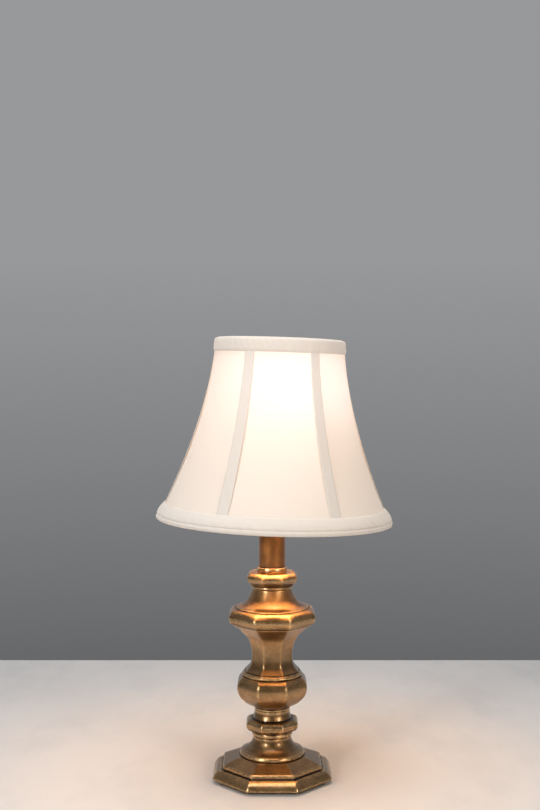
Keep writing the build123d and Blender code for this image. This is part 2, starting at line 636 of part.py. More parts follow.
with BuildPart() as socket_shell:
    with BuildSketch(upright(socket_frame)):
        with BuildLine():
            Polyline((SHELL_R - SHELL_WALL, SHELL_TOP - SHELL_ROLL),
                     (SHELL_R - SHELL_WALL, skirt_z + SHELL_WALL), (SHELL_R, skirt_z + SHELL_WALL),
                     (SHELL_R, SHELL_TOP - SHELL_ROLL))
            ThreePointArc((SHELL_R, SHELL_TOP - SHELL_ROLL),
                          (SHELL_R - 0.3 * SHELL_ROLL, SHELL_TOP - 0.3 * SHELL_ROLL),
                          (SHELL_R - SHELL_ROLL, SHELL_TOP))
            Polyline((SHELL_R - SHELL_ROLL, SHELL_TOP),
                     (SHELL_R - SHELL_ROLL, SHELL_TOP - SHELL_WALL),
                     (SHELL_R - SHELL_WALL, SHELL_TOP - SHELL_ROLL))
        make_face()
    revolve(axis=socket_axis)
    with BuildSketch(switch_plane):
        Circle(SHAFT_HOLE_R)
    extrude(amount=2 * SHELL_R, mode=Mode.SUBTRACT)
finish(socket_shell.part, "socket_shell")

# ---- turn switch: shaft in the socket body, fluted knob on its end ------------------------------
with BuildPart() as switch_shaft:
    with BuildSketch(switch_plane.offset(SHAFT_IN)):
        Circle(SHAFT_R)
    extrude(amount=SHAFT_OUT - SHAFT_IN)
finish(switch_shaft.part, "switch_shaft")

knob_in = SHELL_R + KNOB_GAP
with BuildPart() as switch_knob:
    with BuildSketch(switch_plane.offset(knob_in)):
        Circle(KNOB_R)
        with PolarLocations(KNOB_R, KNOB_FLUTES):
            Circle(FLUTE_R, mode=Mode.SUBTRACT)
    extrude(amount=KNOB_L)
    with BuildSketch(switch_plane.offset(knob_in)):
        Circle(SHAFT_R + SHAFT_FIT)
    extrude(amount=SHAFT_OUT - knob_in + PART_FIT, mode=Mode.SUBTRACT)
finish(switch_knob.part, "switch_knob")

# ---- bulb: tip, insulator and screw base --------------------------------------------------------
with BuildPart() as bulb_contact:
    with BuildSketch(upright(socket_frame)):
        with BuildLine():
            Polyline((0, BULB_Z + TIP_H), (0, BULB_Z))
            ThreePointArc((0, BULB_Z), (0.7 * TIP_R, BULB_Z + 0.3 * TIP_H), (TIP_R, BULB_Z + TIP_H))
            Line((TIP_R, BULB_Z + TIP_H), (0, BULB_Z + TIP_H))
        make_face()
    revolve(axis=socket_axis)
finish(bulb_contact.part, "bulb_contact")

with BuildPart() as bulb_insulator:
    with BuildSketch(upright(socket_frame)):
        Polygon((0, BULB_Z + TIP_H), (TIP_R + PART_FIT, BULB_Z + TIP_H), (INSULATOR_R, BULB_BASE_Z),
                (0, BULB_BASE_Z), align=None)
    revolve(axis=socket_axis)
finish(bulb_insulator.part, "bulb_insulator")

flare_z = GLASS_Z - 2 * BULB_BASE_FLARE
with BuildPart() as bulb_base:
    with BuildSketch(upright(socket_frame)):
        Polygon((0, BULB_BASE_Z), (INSULATOR_R, BULB_BASE_Z), (BULB_BASE_R, BULB_BASE_Z + 2.5),
                (BULB_BASE_R, flare_z), (BULB_BASE_R + BULB_BASE_FLARE, GLASS_Z),
                (BULB_BASE_R + BULB_BASE_FLARE - BULB_BASE_WALL, GLASS_Z),
                (BULB_BASE_R - BULB_BASE_WALL, flare_z),
                (BULB_BASE_R - BULB_BASE_WALL, BULB_BASE_Z + 3.0),
                (INSULATOR_R, BULB_BASE_Z + BULB_BASE_WALL), (0, BULB_BASE_Z + BULB_BASE_WALL), align=None)
    revolve(axis=socket_axis)
finish(bulb_base.part, "bulb_base")


# ---- bulb: glass envelope, stem and filament ----------------------------------------------------
def envelope(wall):
    """Half outline of the glass, drawn in by a wall: a straight neck, a blend, and the globe."""
    r = GLOBE_R - wall
    low = (r * cos(radians(NECK_BLEND)), GLOBE_Z - r * sin(radians(NECK_BLEND)))
    neck = (min(GLASS_NECK_R, BULB_BASE_R - BULB_BASE_WALL) - PART_FIT - wall, GLASS_Z - 4.0 + wall)
    mid = (neck[0] + 0.25 * (low[0] - neck[0]), neck[1] + 0.55 * (low[1] - neck[1]))
    with BuildSketch() as half:
        with BuildLine():
            Spline(neck, mid, low, tangents=[(0, 1), (sin(radians(NECK_BLEND)), cos(radians(NECK_BLEND)))])
            ThreePointArc(low, (r * cos(pi / 5), GLOBE_Z + r * sin(pi / 5)), (0, GLOBE_Z + r))
            Polyline((0, GLOBE_Z + r), (0, neck[1]), neck)
        make_face()
    return half.sketch


with BuildPart() as bulb_glass:
    revolve(upright(socket_frame) * envelope(0), axis=socket_axis)
    revolve(upright(socket_frame) * envelope(GLASS_WALL), axis=socket_axis, mode=Mode.SUBTRACT)
finish(bulb_glass.part, "bulb_glass")

stem_z = GLASS_Z - 4.0 + GLASS_WALL
with BuildPart() as bulb_stem:
    with BuildSketch(socket_frame.offset(stem_z)):
        Circle(STEM_R)
    with BuildSketch(socket_frame.offset(stem_z + STEM_H)):
        Circle(STEM_R / 2)
    loft()
finish(bulb_stem.part, "bulb_stem")

with BuildPart() as filament:
    for way in (1, -1):
        foot = (way * STEM_R / 4, 0, stem_z + STEM_H + SUPPORT_R)
        tip = (way * FILAMENT_SPAN / 2, 0, stem_z + STEM_H + SUPPORT_H)
        start = Vector(*socket_frame.from_local_coords(foot))
        end = Vector(*socket_frame.from_local_coords(tip))
        with BuildSketch(Plane(start, z_dir=end - start)):
            Circle(SUPPORT_R)
        extrude(amount=(end - start).length)
    left = Vector(*socket_frame.from_local_coords((-FILAMENT_SPAN / 2, 0, stem_z + STEM_H + SUPPORT_H)))
    with BuildSketch(Plane(left, z_dir=SOCKET_SIDE)):
        Circle(FILAMENT_R)
    extrude(amount=FILAMENT_SPAN)
finish(filament.part, "filament")


# ---- shade: the bell's outline ------------------------------------------------------------------
def rib_radius(level):
    """Outside of the cover at a rib, at a height over the shade's lower edge."""
    up = 1 - level / SHADE_H
    return SHADE_TOP_R + (SHADE_BOTTOM_R - SHADE_TOP_R) * max(up, 0) ** FLARE


def panel_radius(level):
    """Outside of the cover at the middle of a panel, which only the ribs beside it hold."""
    return rib_radius(level) * (1 - PANEL_DRAW * sin(pi * level / SHADE_H) ** 1.5)


def slant(level):
    """How much further in a round wire's middle lies, because the cover slopes where it touches."""
    up = max(1 - level / SHADE_H, 0)
    slope = FLARE * (SHADE_BOTTOM_R - SHADE_TOP_R) / SHADE_H * up ** (FLARE - 1)
    return (1 + slope ** 2) ** 0.5


def rib_line(inset, low, high, wire_r=0.0, steps=9):
    """Points up a rib, set in from the cover's outside, in (radius, height over the globe)."""
    levels = [low + (high - low) * step / (steps - 1) for step in range(steps)]
    return [(rib_radius(level) - inset - wire_r * slant(level), level - SHADE_BELOW) for level in levels]


def panel_ring(level, inset):
    """Section of the cloth: six arcs from rib to rib, drawn in where nothing but the ribs holds it."""
    corner = rib_radius(level) - inset
    middle = panel_radius(level) - inset
    step = 2 * pi / RIBS
    with BuildSketch() as ring:
        with BuildLine():
            for rib in range(RIBS):
                a = rib * step
                ThreePointArc((corner * cos(a), corner * sin(a)),
                              (middle * cos(a + step / 2), middle * sin(a + step / 2)),
                              (corner * cos(a + step), corner * sin(a + step)))
        make_face()
    return ring.sketch


def cloth_levels(margin):
    """Heights of the sections, closer together where the bell flares most."""
    span = SHADE_H - 2 * margin
    return [margin + span * (step / (LEVELS - 1)) ** 1.2 for step in range(LEVELS)]


cloth_end = RING_WIRE_R / 2
ring_level = cloth_end + RING_WIRE_R
ring_in = COVER_T + (SKIN_FIT + RING_WIRE_R) * slant(ring_level)
lining_in = COVER_T + 2 * (SKIN_FIT + RING_WIRE_R) * slant(0)
cross_z = GLOBE_R + CLIP_FIT + 2 * CLIP_WIRE_R + CROSS_WIRE_R
top_ring_z = SHADE_H - ring_level - SHADE_BELOW
top_ring_r = rib_radius(SHADE_H - ring_level) - COVER_T - SKIN_FIT - RING_WIRE_R
arm_end = (top_ring_r - 0.75 * (RING_WIRE_R + CROSS_WIRE_R), top_ring_z - 0.75 * (RING_WIRE_R + CROSS_WIRE_R))
arm = Vector(arm_end[0] - CROSS_FLAT, 0, arm_end[1] - cross_z)


def arm_cutter(way):
    """Clearance for one arm of the cross wire, where it passes the lining and the trim."""
    outward = shade_frame.x_dir * (way * arm.X) + shade_frame.z_dir * arm.Z
    root = Vector(*shade_frame.from_local_coords((way * CROSS_FLAT, 0, cross_z)))
    return Plane(root, z_dir=outward)


with BuildPart() as shade_cover:
    for level in cloth_levels(cloth_end):
        with BuildSketch(shade_frame.offset(level - SHADE_BELOW)):
            add(panel_ring(level, 0))
    loft()
    for level in cloth_levels(cloth_end):
        with BuildSketch(shade_frame.offset(level - SHADE_BELOW)):
            add(panel_ring(level, COVER_T))
    loft(mode=Mode.SUBTRACT)
finish(shade_cover.part, "shade_cover")

with BuildPart() as shade_lining:
    for level in cloth_levels(cloth_end):
        with BuildSketch(shade_frame.offset(level - SHADE_BELOW)):
            add(panel_ring(level, lining_in))
    loft()
    for level in cloth_levels(cloth_end):
        with BuildSketch(shade_frame.offset(level - SHADE_BELOW)):
            add(panel_ring(level, lining_in + LINING_T))
    loft(mode=Mode.SUBTRACT)
    for way in (1, -1):
        with BuildSketch(arm_cutter(way)):
            Circle(CROSS_WIRE_R + PART_FIT)
        extrude(amount=2 * arm.length, mode=Mode.SUBTRACT)
finish(shade_lining.part, "shade_lining")

# ---- shade: tapes over the ribs, and the trims over the rings -----------------------------------
with BuildPart() as rib_tapes:
    low, high = 1.05 * BOTTOM_TRIM_H, SHADE_H - TOP_TRIM_H - 4 * SKIN_FIT
    inner = rib_line(-SKIN_FIT, low, high)
    outer = rib_line(-SKIN_FIT - TAPE_T, low, high)
    for rib in range(RIBS):
        frame = turned(shade_frame, 360 / RIBS * rib)
        with BuildSketch(upright(frame)):
            with BuildLine():
                Spline(*inner)
                Line(inner[-1], outer[-1])
                Spline(*outer)
                Line(outer[0], inner[0])
            make_face()
        extrude(amount=TAPE_W / 2, both=True)
finish(rib_tapes.part, "rib_tapes")

top_lip_r = panel_radius(SHADE_H - TRIM_LIP_H) - lining_in - LINING_T - SKIN_FIT
top_in = rib_radius(SHADE_H) + SKIN_FIT
top_low_in = rib_radius(SHADE_H - TOP_TRIM_H) + SKIN_FIT
high = SHADE_H - SHADE_BELOW
low = high - TOP_TRIM_H
with BuildPart() as top_trim:
    with BuildSketch(upright(shade_frame)):
        with BuildLine():
            Polyline((top_low_in, low), (top_in, high - TRIM_LIP_T), (top_lip_r, high - TRIM_LIP_T),
                     (top_lip_r, high - TRIM_LIP_H), (top_lip_r - TRIM_LIP_T, high - TRIM_LIP_H),
                     (top_lip_r - TRIM_LIP_T, high - TRIM_LIP_T))
            ThreePointArc((top_lip_r - TRIM_LIP_T, high - TRIM_LIP_T),
                          (top_lip_r - 0.7 * TRIM_LIP_T, high - 0.3 * TRIM_LIP_T), (top_lip_r, high))
            Line((top_lip_r, high), (top_in, high))
            ThreePointArc((top_in, high), (top_in + 0.75 * TOP_TRIM_T, high - 0.3 * TOP_TRIM_T),
                          (top_in + TOP_TRIM_T, high - TOP_TRIM_T))
            Line((top_in + TOP_TRIM_T, high - TOP_TRIM_T), (top_low_in + TOP_TRIM_T, low + TOP_TRIM_T))
            ThreePointArc((top_low_in + TOP_TRIM_T, low + TOP_TRIM_T),
                          (top_low_in + 0.75 * TOP_TRIM_T, low + 0.3 * TOP_TRIM_T), (top_low_in, low))
        make_face()
    revolve(axis=shade_axis)
    for way in (1, -1):
        with BuildSketch(arm_cutter(way)):
            Circle(CROSS_WIRE_R + PART_FIT)
        extrude(amount=arm.length + CROSS_WIRE_R, mode=Mode.SUBTRACT)
finish(top_trim.part, "top_trim")

low = -SHADE_BELOW
bottom_in = rib_radius(0) + SKIN_FIT
bottom_top_in = rib_radius(BOTTOM_TRIM_H) + SKIN_FIT
bottom_lip_r = panel_radius(TRIM_LIP_H) - lining_in - LINING_T - SKIN_FIT
edge_r = bottom_in + BOTTOM_TRIM_T
with BuildPart() as bottom_trim:
    with BuildSketch(upright(shade_frame)):
        with BuildLine():
            Polyline((bottom_top_in, low + BOTTOM_TRIM_H), (bottom_in, low + TRIM_LIP_T),
                     (bottom_lip_r, low + TRIM_LIP_T), (bottom_lip_r, low + TRIM_LIP_H),
                     (bottom_lip_r - TRIM_LIP_T, low + TRIM_LIP_H), (bottom_lip_r - TRIM_LIP_T, low),
                     (bottom_in, low))
            ThreePointArc((bottom_in, low), (edge_r - 0.3 * BOTTOM_TRIM_T, low + 0.4 * BOTTOM_TRIM_T),
                          (edge_r, low + BOTTOM_TRIM_T))
            Line((edge_r, low + BOTTOM_TRIM_T), (edge_r - BOTTOM_TRIM_T, low + 0.9 * BOTTOM_TRIM_H))
            ThreePointArc((edge_r - BOTTOM_TRIM_T, low + 0.9 * BOTTOM_TRIM_H),
                          (edge_r - 1.4 * BOTTOM_TRIM_T, low + 1.02 * BOTTOM_TRIM_H),
                          (bottom_top_in, low + BOTTOM_TRIM_H))
        make_face()
    revolve(axis=shade_axis)
finish(bottom_trim.part, "bottom_trim")

# ---- shade: wire frame --------------------------------------------------------------------------
with BuildPart() as top_ring:
    with BuildSketch(upright(shade_frame)):
        with Locations((top_ring_r, top_ring_z)):
            Circle(RING_WIRE_R)
    revolve(axis=shade_axis)
finish(top_ring.part, "top_ring")

with BuildPart() as bottom_ring:
    with BuildSketch(upright(shade_frame)):
        with Locations((rib_radius(ring_level) - ring_in, ring_level - SHADE_BELOW)):
            Circle(RING_WIRE_R)
    revolve(axis=shade_axis)
finish(bottom_ring.part, "bottom_ring")

with BuildPart() as rib_wires:
    end = ring_level + RING_WIRE_R + RIB_WIRE_R / 2
    line = rib_line(COVER_T, end, SHADE_H - end, SKIN_FIT + RIB_WIRE_R)
    for rib in range(RIBS):
        frame = turned(shade_frame, 360 / RIBS * rib)
        with BuildLine(upright(frame)) as wire:
            Spline(*line)
        with BuildSketch(Plane(wire.line @ 0, z_dir=wire.line % 0)):
            Circle(RIB_WIRE_R)
        sweep(path=wire.line)
finish(rib_wires.part, "rib_wires")

with BuildPart() as cross_wire:
    with BuildLine(upright(shade_frame)) as wire:
        FilletPolyline((-arm_end[0], arm_end[1]), (-CROSS_FLAT, cross_z), (CROSS_FLAT, cross_z), arm_end,
                       radius=CROSS_BEND_R)
    with BuildSketch(Plane(wire.line @ 0, z_dir=wire.line % 0)):
        Circle(CROSS_WIRE_R)
    sweep(path=wire.line)
finish(cross_wire.part, "cross_wire")

# ---- shade: the clip, two sprung loops against the globe and a bow over its top -----------------
clip_r = GLOBE_R + CLIP_FIT + CLIP_WIRE_R
loop_out = (clip_r ** 2 - CLIP_LOOP_R ** 2) ** 0.5
clip_plane = Plane(globe, x_dir=shade_frame.y_dir, z_dir=shade_frame.x_dir)
bow_from = atan2(CLIP_LOOP_R, loop_out)
bow_angles = [bow_from + step * (pi - 2 * bow_from) / CLIP_BOW_STEPS for step in range(CLIP_BOW_STEPS + 1)]
with BuildPart() as bulb_clip:
    with BuildLine(clip_plane) as bow:
        Spline(*[(clip_r * cos(a), clip_r * sin(a)) for a in bow_angles])
    with BuildSketch(Plane(bow.line @ 0, z_dir=bow.line % 0)):
        Circle(CLIP_WIRE_R)
    sweep(path=bow.line)
    for way in (1, -1):
        with BuildSketch(clip_plane):
            with Locations((way * loop_out, CLIP_LOOP_R)):
                Circle(CLIP_WIRE_R)
        revolve(axis=Axis(globe, shade_frame.y_dir))
    with BuildSketch(clip_plane):
        with Locations((loop_out, CLIP_LOOP_R), (-loop_out, CLIP_LOOP_R)):
            Circle(CLIP_SLEEVE_R)
    extrude(amount=CLIP_SLEEVE_L / 2, both=True)
finish(bulb_clip.part, "bulb_clip")
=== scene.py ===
"""Candlestick lamp: the looks of its brass column, its socket and bulb, and its lit bell shade,
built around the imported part.  Metres, +Z up, front towards -Y."""

import json

import bpy
import numpy as np
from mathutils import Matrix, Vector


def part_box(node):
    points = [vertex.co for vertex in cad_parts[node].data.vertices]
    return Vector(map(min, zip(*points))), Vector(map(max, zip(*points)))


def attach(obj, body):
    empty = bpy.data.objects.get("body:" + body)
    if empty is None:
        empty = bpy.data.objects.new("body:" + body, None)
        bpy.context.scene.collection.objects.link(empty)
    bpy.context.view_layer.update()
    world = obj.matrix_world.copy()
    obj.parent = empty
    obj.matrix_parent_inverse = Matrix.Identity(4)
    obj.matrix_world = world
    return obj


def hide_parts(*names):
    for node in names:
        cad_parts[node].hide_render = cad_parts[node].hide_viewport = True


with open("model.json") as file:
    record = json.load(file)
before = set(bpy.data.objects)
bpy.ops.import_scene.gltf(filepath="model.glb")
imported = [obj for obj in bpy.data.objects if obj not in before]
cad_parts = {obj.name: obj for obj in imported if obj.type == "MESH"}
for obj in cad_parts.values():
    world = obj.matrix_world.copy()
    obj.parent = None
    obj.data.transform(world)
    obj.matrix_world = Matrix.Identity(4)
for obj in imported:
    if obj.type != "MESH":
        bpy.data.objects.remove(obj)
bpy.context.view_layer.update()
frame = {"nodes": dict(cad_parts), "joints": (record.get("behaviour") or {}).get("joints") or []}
MM = 0.001

# ---- camera, table and studio --------------------------------------------------------------------
# A 50 mm lens on a 36 mm high frame, a metre in front and just under the shade's top, looking 1.4
# degrees down; a pale table that ends behind the lamp, a grey backdrop, two soft boxes and a top light.
LENS = 50.0
FRAME_HEIGHT = 36.0
CAMERA_AT = (-2.1 * MM, -1099.0 * MM, 392.2 * MM)
LOOKS_DOWN = 1.426
camera_data = bpy.data.cameras.new("camera")
camera_data.sensor_fit = "VERTICAL"
camera_data.sensor_height = FRAME_HEIGHT
camera_data.lens = LENS
camera = bpy.data.objects.new("camera", camera_data)
camera.location = CAMERA_AT
camera.rotation_euler = (np.radians(90 - LOOKS_DOWN), 0, 0)
bpy.context.scene.collection.objects.link(camera)
bpy.context.scene.camera = camera
bpy.context.scene.view_settings.view_transform = "Standard"

TABLE_BACK = 450 * MM
TABLE_SIDE = 2600 * MM
TABLE_FRONT = -2400 * MM
TABLE_PALE = (0.65, 0.652, 0.660, 1)
TABLE_VEIN = (0.57, 0.585, 0.60, 1)


def new_material(name):
    """An empty node material with a Principled shader; gives back what the finishes wire up."""
    made = bpy.data.materials.new(name)
    made.use_nodes = True
    tree = made.node_tree
    shader = tree.nodes["Principled BSDF"]
    return made, tree, shader


def node(tree, kind, inputs=None, **settings):
    """One node with its settings and its unlinked inputs filled in."""
    made = tree.nodes.new(kind)
    for key, value in settings.items():
        setattr(made, key, value)
    for key, value in (inputs or {}).items():
        made.inputs[key].default_value = value
    return made


def ramp(tree, factor, stops):
    """A colour ramp through (place, colour) stops."""
    made = tree.nodes.new("ShaderNodeValToRGB")
    marks = made.color_ramp.elements
    while len(marks) < len(stops):
        marks.new(0.5)
    for mark, (place, colour) in zip(marks, stops):
        mark.position = place
        mark.color = colour
    tree.links.new(factor, made.inputs["Fac"])
    return made.outputs["Color"]


def noise(tree, size, detail=4.0, stretch=(1, 1, 1), rough=0.55):
    """Noise on Object coordinates whose lumps are about that size, in metres."""
    place = node(tree, "ShaderNodeTexCoord")
    scale = node(tree, "ShaderNodeMapping", {"Scale": stretch})
    made = node(tree, "ShaderNodeTexNoise", {"Scale": 1 / size, "Detail": detail, "Roughness": rough})
    tree.links.new(place.outputs["Object"], scale.inputs["Vector"])
    tree.links.new(scale.outputs["Vector"], made.inputs["Vector"])
    return made.outputs["Fac"]


def link_object(name, mesh, material=None):
    """Puts a mesh in the scene under a name, with its material."""
    made = bpy.data.objects.new(name, mesh)
    bpy.context.scene.collection.objects.link(made)
    if material:
        mesh.materials.append(material)
    return made


table_mesh = bpy.data.meshes.new("table")
table_mesh.from_pydata(
    [(-TABLE_SIDE, TABLE_FRONT, 0), (TABLE_SIDE, TABLE_FRONT, 0), (TABLE_SIDE, TABLE_BACK, 0),
     (-TABLE_SIDE, TABLE_BACK, 0)], [], [(0, 1, 2, 3)])
table_finish, tree, shader = new_material("table_finish")
cloud = noise(tree, 0.09, 6.0, (1, 0.6, 1), 0.6)
tree.links.new(ramp(tree, cloud, [(0.30, TABLE_VEIN), (0.52, TABLE_PALE), (1.0, TABLE_PALE)]),
               shader.inputs["Base Color"])
shader.inputs["Roughness"].default_value = 0.38
table = link_object("table", table_mesh, table_finish)

BACKDROP_LOW = (0.125, 0.127, 0.131, 1)
BACKDROP_HIGH = (0.312, 0.315, 0.322, 1)
ROOM_LIGHT = (1.0, 0.98, 0.96, 1)
ROOM_STRENGTH = 0.26
ROOM_DIM = (0.085, 0.080, 0.075, 1)
world = bpy.data.worlds.new("studio")
bpy.context.scene.world = world
world.use_nodes = True
tree = world.node_tree
backdrop = tree.nodes["Background"]
room = node(tree, "ShaderNodeBackground", {"Color": ROOM_LIGHT, "Strength": ROOM_STRENGTH})
sight = node(tree, "ShaderNodeTexCoord")
split = node(tree, "ShaderNodeSeparateXYZ")
height = node(tree, "ShaderNodeMapRange", {"From Min": -0.26, "From Max": 0.10})
tree.links.new(sight.outputs["Generated"], split.inputs["Vector"])
tree.links.new(split.outputs["Z"], height.inputs["Value"])
tree.links.new(ramp(tree, height.outputs["Result"], [(0.0, BACKDROP_LOW), (1.0, BACKDROP_HIGH)]),
               backdrop.inputs["Color"])
rays = node(tree, "ShaderNodeLightPath")
seen = node(tree, "ShaderNodeMath", operation="MAXIMUM")
tree.links.new(rays.outputs["Is Camera Ray"], seen.inputs[0])
tree.links.new(rays.outputs["Is Transmission Ray"], seen.inputs[1])
behind = node(tree, "ShaderNodeMapRange", {"From Min": -0.5, "From Max": 0.7})
tree.links.new(split.outputs["Y"], behind.inputs["Value"])
dim_room = node(tree, "ShaderNodeBackground")
tree.links.new(ramp(tree, behind.outputs["Result"], [(0.0, ROOM_DIM), (1.0, BACKDROP_HIGH)]),
               dim_room.inputs["Color"])
mirrored = node(tree, "ShaderNodeMixShader")
tree.links.new(rays.outputs["Is Glossy Ray"], mirrored.inputs["Fac"])
tree.links.new(room.outputs["Background"], mirrored.inputs[1])
tree.links.new(dim_room.outputs["Background"], mirrored.inputs[2])
mix = node(tree, "ShaderNodeMixShader")
tree.links.new(seen.outputs["Value"], mix.inputs["Fac"])
tree.links.new(mirrored.outputs["Shader"], mix.inputs[1])
tree.links.new(backdrop.outputs["Background"], mix.inputs[2])
tree.links.new(mix.outputs["Shader"], tree.nodes["World Output"].inputs["Surface"])

SOFT_BOXES = {
    "box_left": ((-0.84, -1.02, 0.62), (0.24, 0.36), 7.6, (1.0, 0.97, 0.93)),
    "box_right": ((0.86, -0.98, 0.58), (0.20, 0.30), 5.0, (1.0, 0.88, 0.74)),
    "top_light": ((-0.10, -0.25, 1.60), (0.9, 0.9), 15.5, (1.0, 0.98, 0.96)),
}
AIM = np.array((0.0, 0.0, 0.20))
for name, (at, size, power, colour) in SOFT_BOXES.items():
    lamp = bpy.data.lights.new(name, "AREA")
    lamp.shape = "RECTANGLE"
    lamp.size, lamp.size_y = size
    lamp.energy = power
    lamp.color = colour
    holder = bpy.data.objects.new(name, lamp)
    holder.location = at
    way = AIM - np.array(at)
    flat = np.hypot(way[0], way[1])
    holder.rotation_euler = (np.arctan2(flat, -way[2]), 0, np.arctan2(way[1], way[0]) - np.pi / 2)
    bpy.context.scene.collection.objects.link(holder)

# ---- base: eight-sided, cast hollow, on four bracket feet ----------------------------------------
# Sand-cast brass, ground on the outside and left rough below, antiqued dark and rubbed back, then
# lacquered.  The threaded rod passes its roof, and a nut below clamps the whole column on it.
STEP = 0.35 * MM
GROOVE_REACH, GROOVE_FULL = 1.3 * MM, 0.22 * MM
GRINDING_WAVE = 0.035 * MM
SEAM_WIDTH = 0.45 * MM
BRASS_DEEP = (0.022, 0.011, 0.005, 1)
BRASS_DULL = (0.215, 0.122, 0.048)
BRASS_MID = (0.340, 0.194, 0.080)
BRASS_LIGHT = (0.45, 0.268, 0.115)
BRASS_RUBBED = (0.72, 0.50, 0.25, 1)
ROUGH_LOW, ROUGH_HIGH, LACQUER, LACQUER_ROUGH = 0.29, 0.38, 0.6, 0.12


def smooth_line(points):
    """A curve through points: cubic between neighbours, its slope at each point taken from the points
    on both sides, sampled evenly."""
    p = np.array(points, float)
    t = np.concatenate([[0.0], np.cumsum(np.linalg.norm(np.diff(p, axis=0), axis=1))])
    slope = np.gradient(p, t, axis=0)
    s = np.linspace(0, t[-1], max(3, int(t[-1] / STEP) + 1))
    i = np.clip(np.searchsorted(t, s, side="right") - 1, 0, len(t) - 2)
    span = (t[i + 1] - t[i])[:, None]
    u = ((s - t[i])[:, None]) / span
    return ((2 * u**3 - 3 * u**2 + 1) * p[i] + (u**3 - 2 * u**2 + u) * span * slope[i]
            + (3 * u**2 - 2 * u**3) * p[i + 1] + (u**3 - u**2) * span * slope[i + 1])


def softened(values, reach, closed):
    """Values along an outline, averaged over their neighbours with a bell curve that wide; an open
    outline keeps its ends, because it is carried on beyond them turned half round."""
    n = max(1, int(3 * reach / STEP))
    bell = np.exp(-0.5 * (np.arange(-n, n + 1) * STEP / reach) ** 2)
    bell = bell / bell.sum()
    if closed:
        wide = np.concatenate([values[-n:], values, values[:n]])
    else:
        wide = np.concatenate([2 * values[0] - values[n:0:-1], values, 2 * values[-1] - values[-2:-n - 2:-1]])
    return np.convolve(wide, bell, mode="valid")


def outline_of(runs, edge, closed=False):
    """The outline of a casting from its runs of (radius, height), each marked 1 where it has flats, 0
    where it is round, or with a pair where it goes from one to the other: radius, height, the mark, and
    how deep each point lies in a groove, which is how far it is inside the outline's own average."""
    pieces = [smooth_line(np.array(points) * MM) for mark, points in runs]
    marks = np.concatenate([np.linspace(*np.broadcast_to(run[0], 2), len(piece))
                            for piece, run in zip(pieces, runs)])
    line = np.concatenate(pieces)
    keep = np.concatenate([[True], np.linalg.norm(np.diff(line, axis=0), axis=1) > 1e-7])
    line, marks = line[keep], marks[keep]
    along = np.concatenate([[0.0], np.cumsum(np.linalg.norm(np.diff(line, axis=0), axis=1))])
    even = np.linspace(0, along[-1], int(along[-1] / STEP) + 1)
    r, z, mark = (np.interp(even, along, v) for v in (line[:, 0], line[:, 1], marks))
    r, z, mark = (softened(v, edge * MM, closed) for v in (r, z, mark))
    dr, dz = np.gradient(r), np.gradient(z)
    size = np.hypot(dr, dz) + 1e-12
    mean_r, mean_z = (softened(v, GROOVE_REACH, closed) for v in (r, z))
    inside = ((mean_r - r) * dz - (mean_z - z) * dr) / size
    return r, z, np.clip(mark, 0, 1), inside / GROOVE_FULL


def corner_angles(per_half=9):
    """Angles round an eight-sided piece, closer together near the corners, from the +X flat."""
    t = np.linspace(0, 1, per_half, endpoint=False)
    half = (np.pi / 8) * (1 - (1 - t) ** 1.7)
    sector = np.concatenate([half, [np.pi / 8], np.pi / 4 - half[:0:-1]])
    return (sector[None, :] + np.arange(8)[:, None] * np.pi / 4).ravel()


def eight_sided(flat, corner, angle):
    """How far an eight-sided section reaches at an angle: flat radius over the cosine of the angle from
    the flat's middle, and round each corner an arc of the corner radius that both flats touch."""
    off = np.abs((angle + np.pi / 8) % (np.pi / 4) - np.pi / 8)
    arc_from = np.arctan((flat - corner) / flat * np.tan(np.pi / 8))
    centre = (flat - corner) / np.cos(np.pi / 8)
    rest = np.pi / 8 - off
    root = np.sqrt(np.maximum(corner**2 - (centre * np.sin(rest)) ** 2, 0))
    return np.where(off < arc_from, flat / np.cos(off), centre * np.cos(rest) + root)


def skin(name, grid, close_rows=False, cap=False, values=None):
    """A mesh over a grid of points: columns run round and close, rows run along and close if asked, and
    a cap is a fan to the middle of each end row.  values is kept on the points as 'patina'."""
    rows, cols = grid.shape[:2]
    points = grid.reshape(-1, 3)
    row = np.arange(rows if close_rows else rows - 1)[:, None]
    col = np.arange(cols)[None, :]
    a = row * cols + col
    b = row * cols + (col + 1) % cols
    up = ((row + 1) % rows) * cols
    faces = np.stack([a, b, up + (col + 1) % cols, up + col], axis=-1).reshape(-1, 4)
    loops = [faces.ravel()]
    sizes = [np.full(len(faces), 4)]
    if cap:
        points = np.concatenate([points, [grid[0].mean(axis=0), grid[-1].mean(axis=0)]])
        ring = np.arange(cols)
        low = np.stack([ring, np.full(cols, rows * cols), (ring + 1) % cols], axis=-1)
        top = (rows - 1) * cols
        high = np.stack([top + ring, top + (ring + 1) % cols, np.full(cols, rows * cols + 1)], axis=-1)
        loops += [low.ravel(), high.ravel()]
        sizes += [np.full(cols, 3), np.full(cols, 3)]
    loops, sizes = np.concatenate(loops), np.concatenate(sizes)
    mesh = bpy.data.meshes.new(name)
    mesh.vertices.add(len(points))
    mesh.loops.add(len(loops))
    mesh.polygons.add(len(sizes))
    mesh.vertices.foreach_set("co", np.ascontiguousarray(points, dtype=np.float32).ravel())
    mesh.loops.foreach_set("vertex_index", loops.astype(np.int32))
    mesh.polygons.foreach_set("loop_start", (np.cumsum(sizes) - sizes).astype(np.int32))
    mesh.polygons.foreach_set("use_smooth", np.ones(len(sizes), dtype=bool))
    mesh.update(calc_edges=True)
    mesh.validate()
    if values is not None:
        kept = np.concatenate([values.ravel(), np.zeros(len(points) - rows * cols)])
        layer = mesh.attributes.new("patina_and_shade", "FLOAT", "POINT")
        layer.data.foreach_set("value", kept.astype(np.float32))
    return mesh


CORNER_FROM, CORNER_FADE = 0.33, 0.06


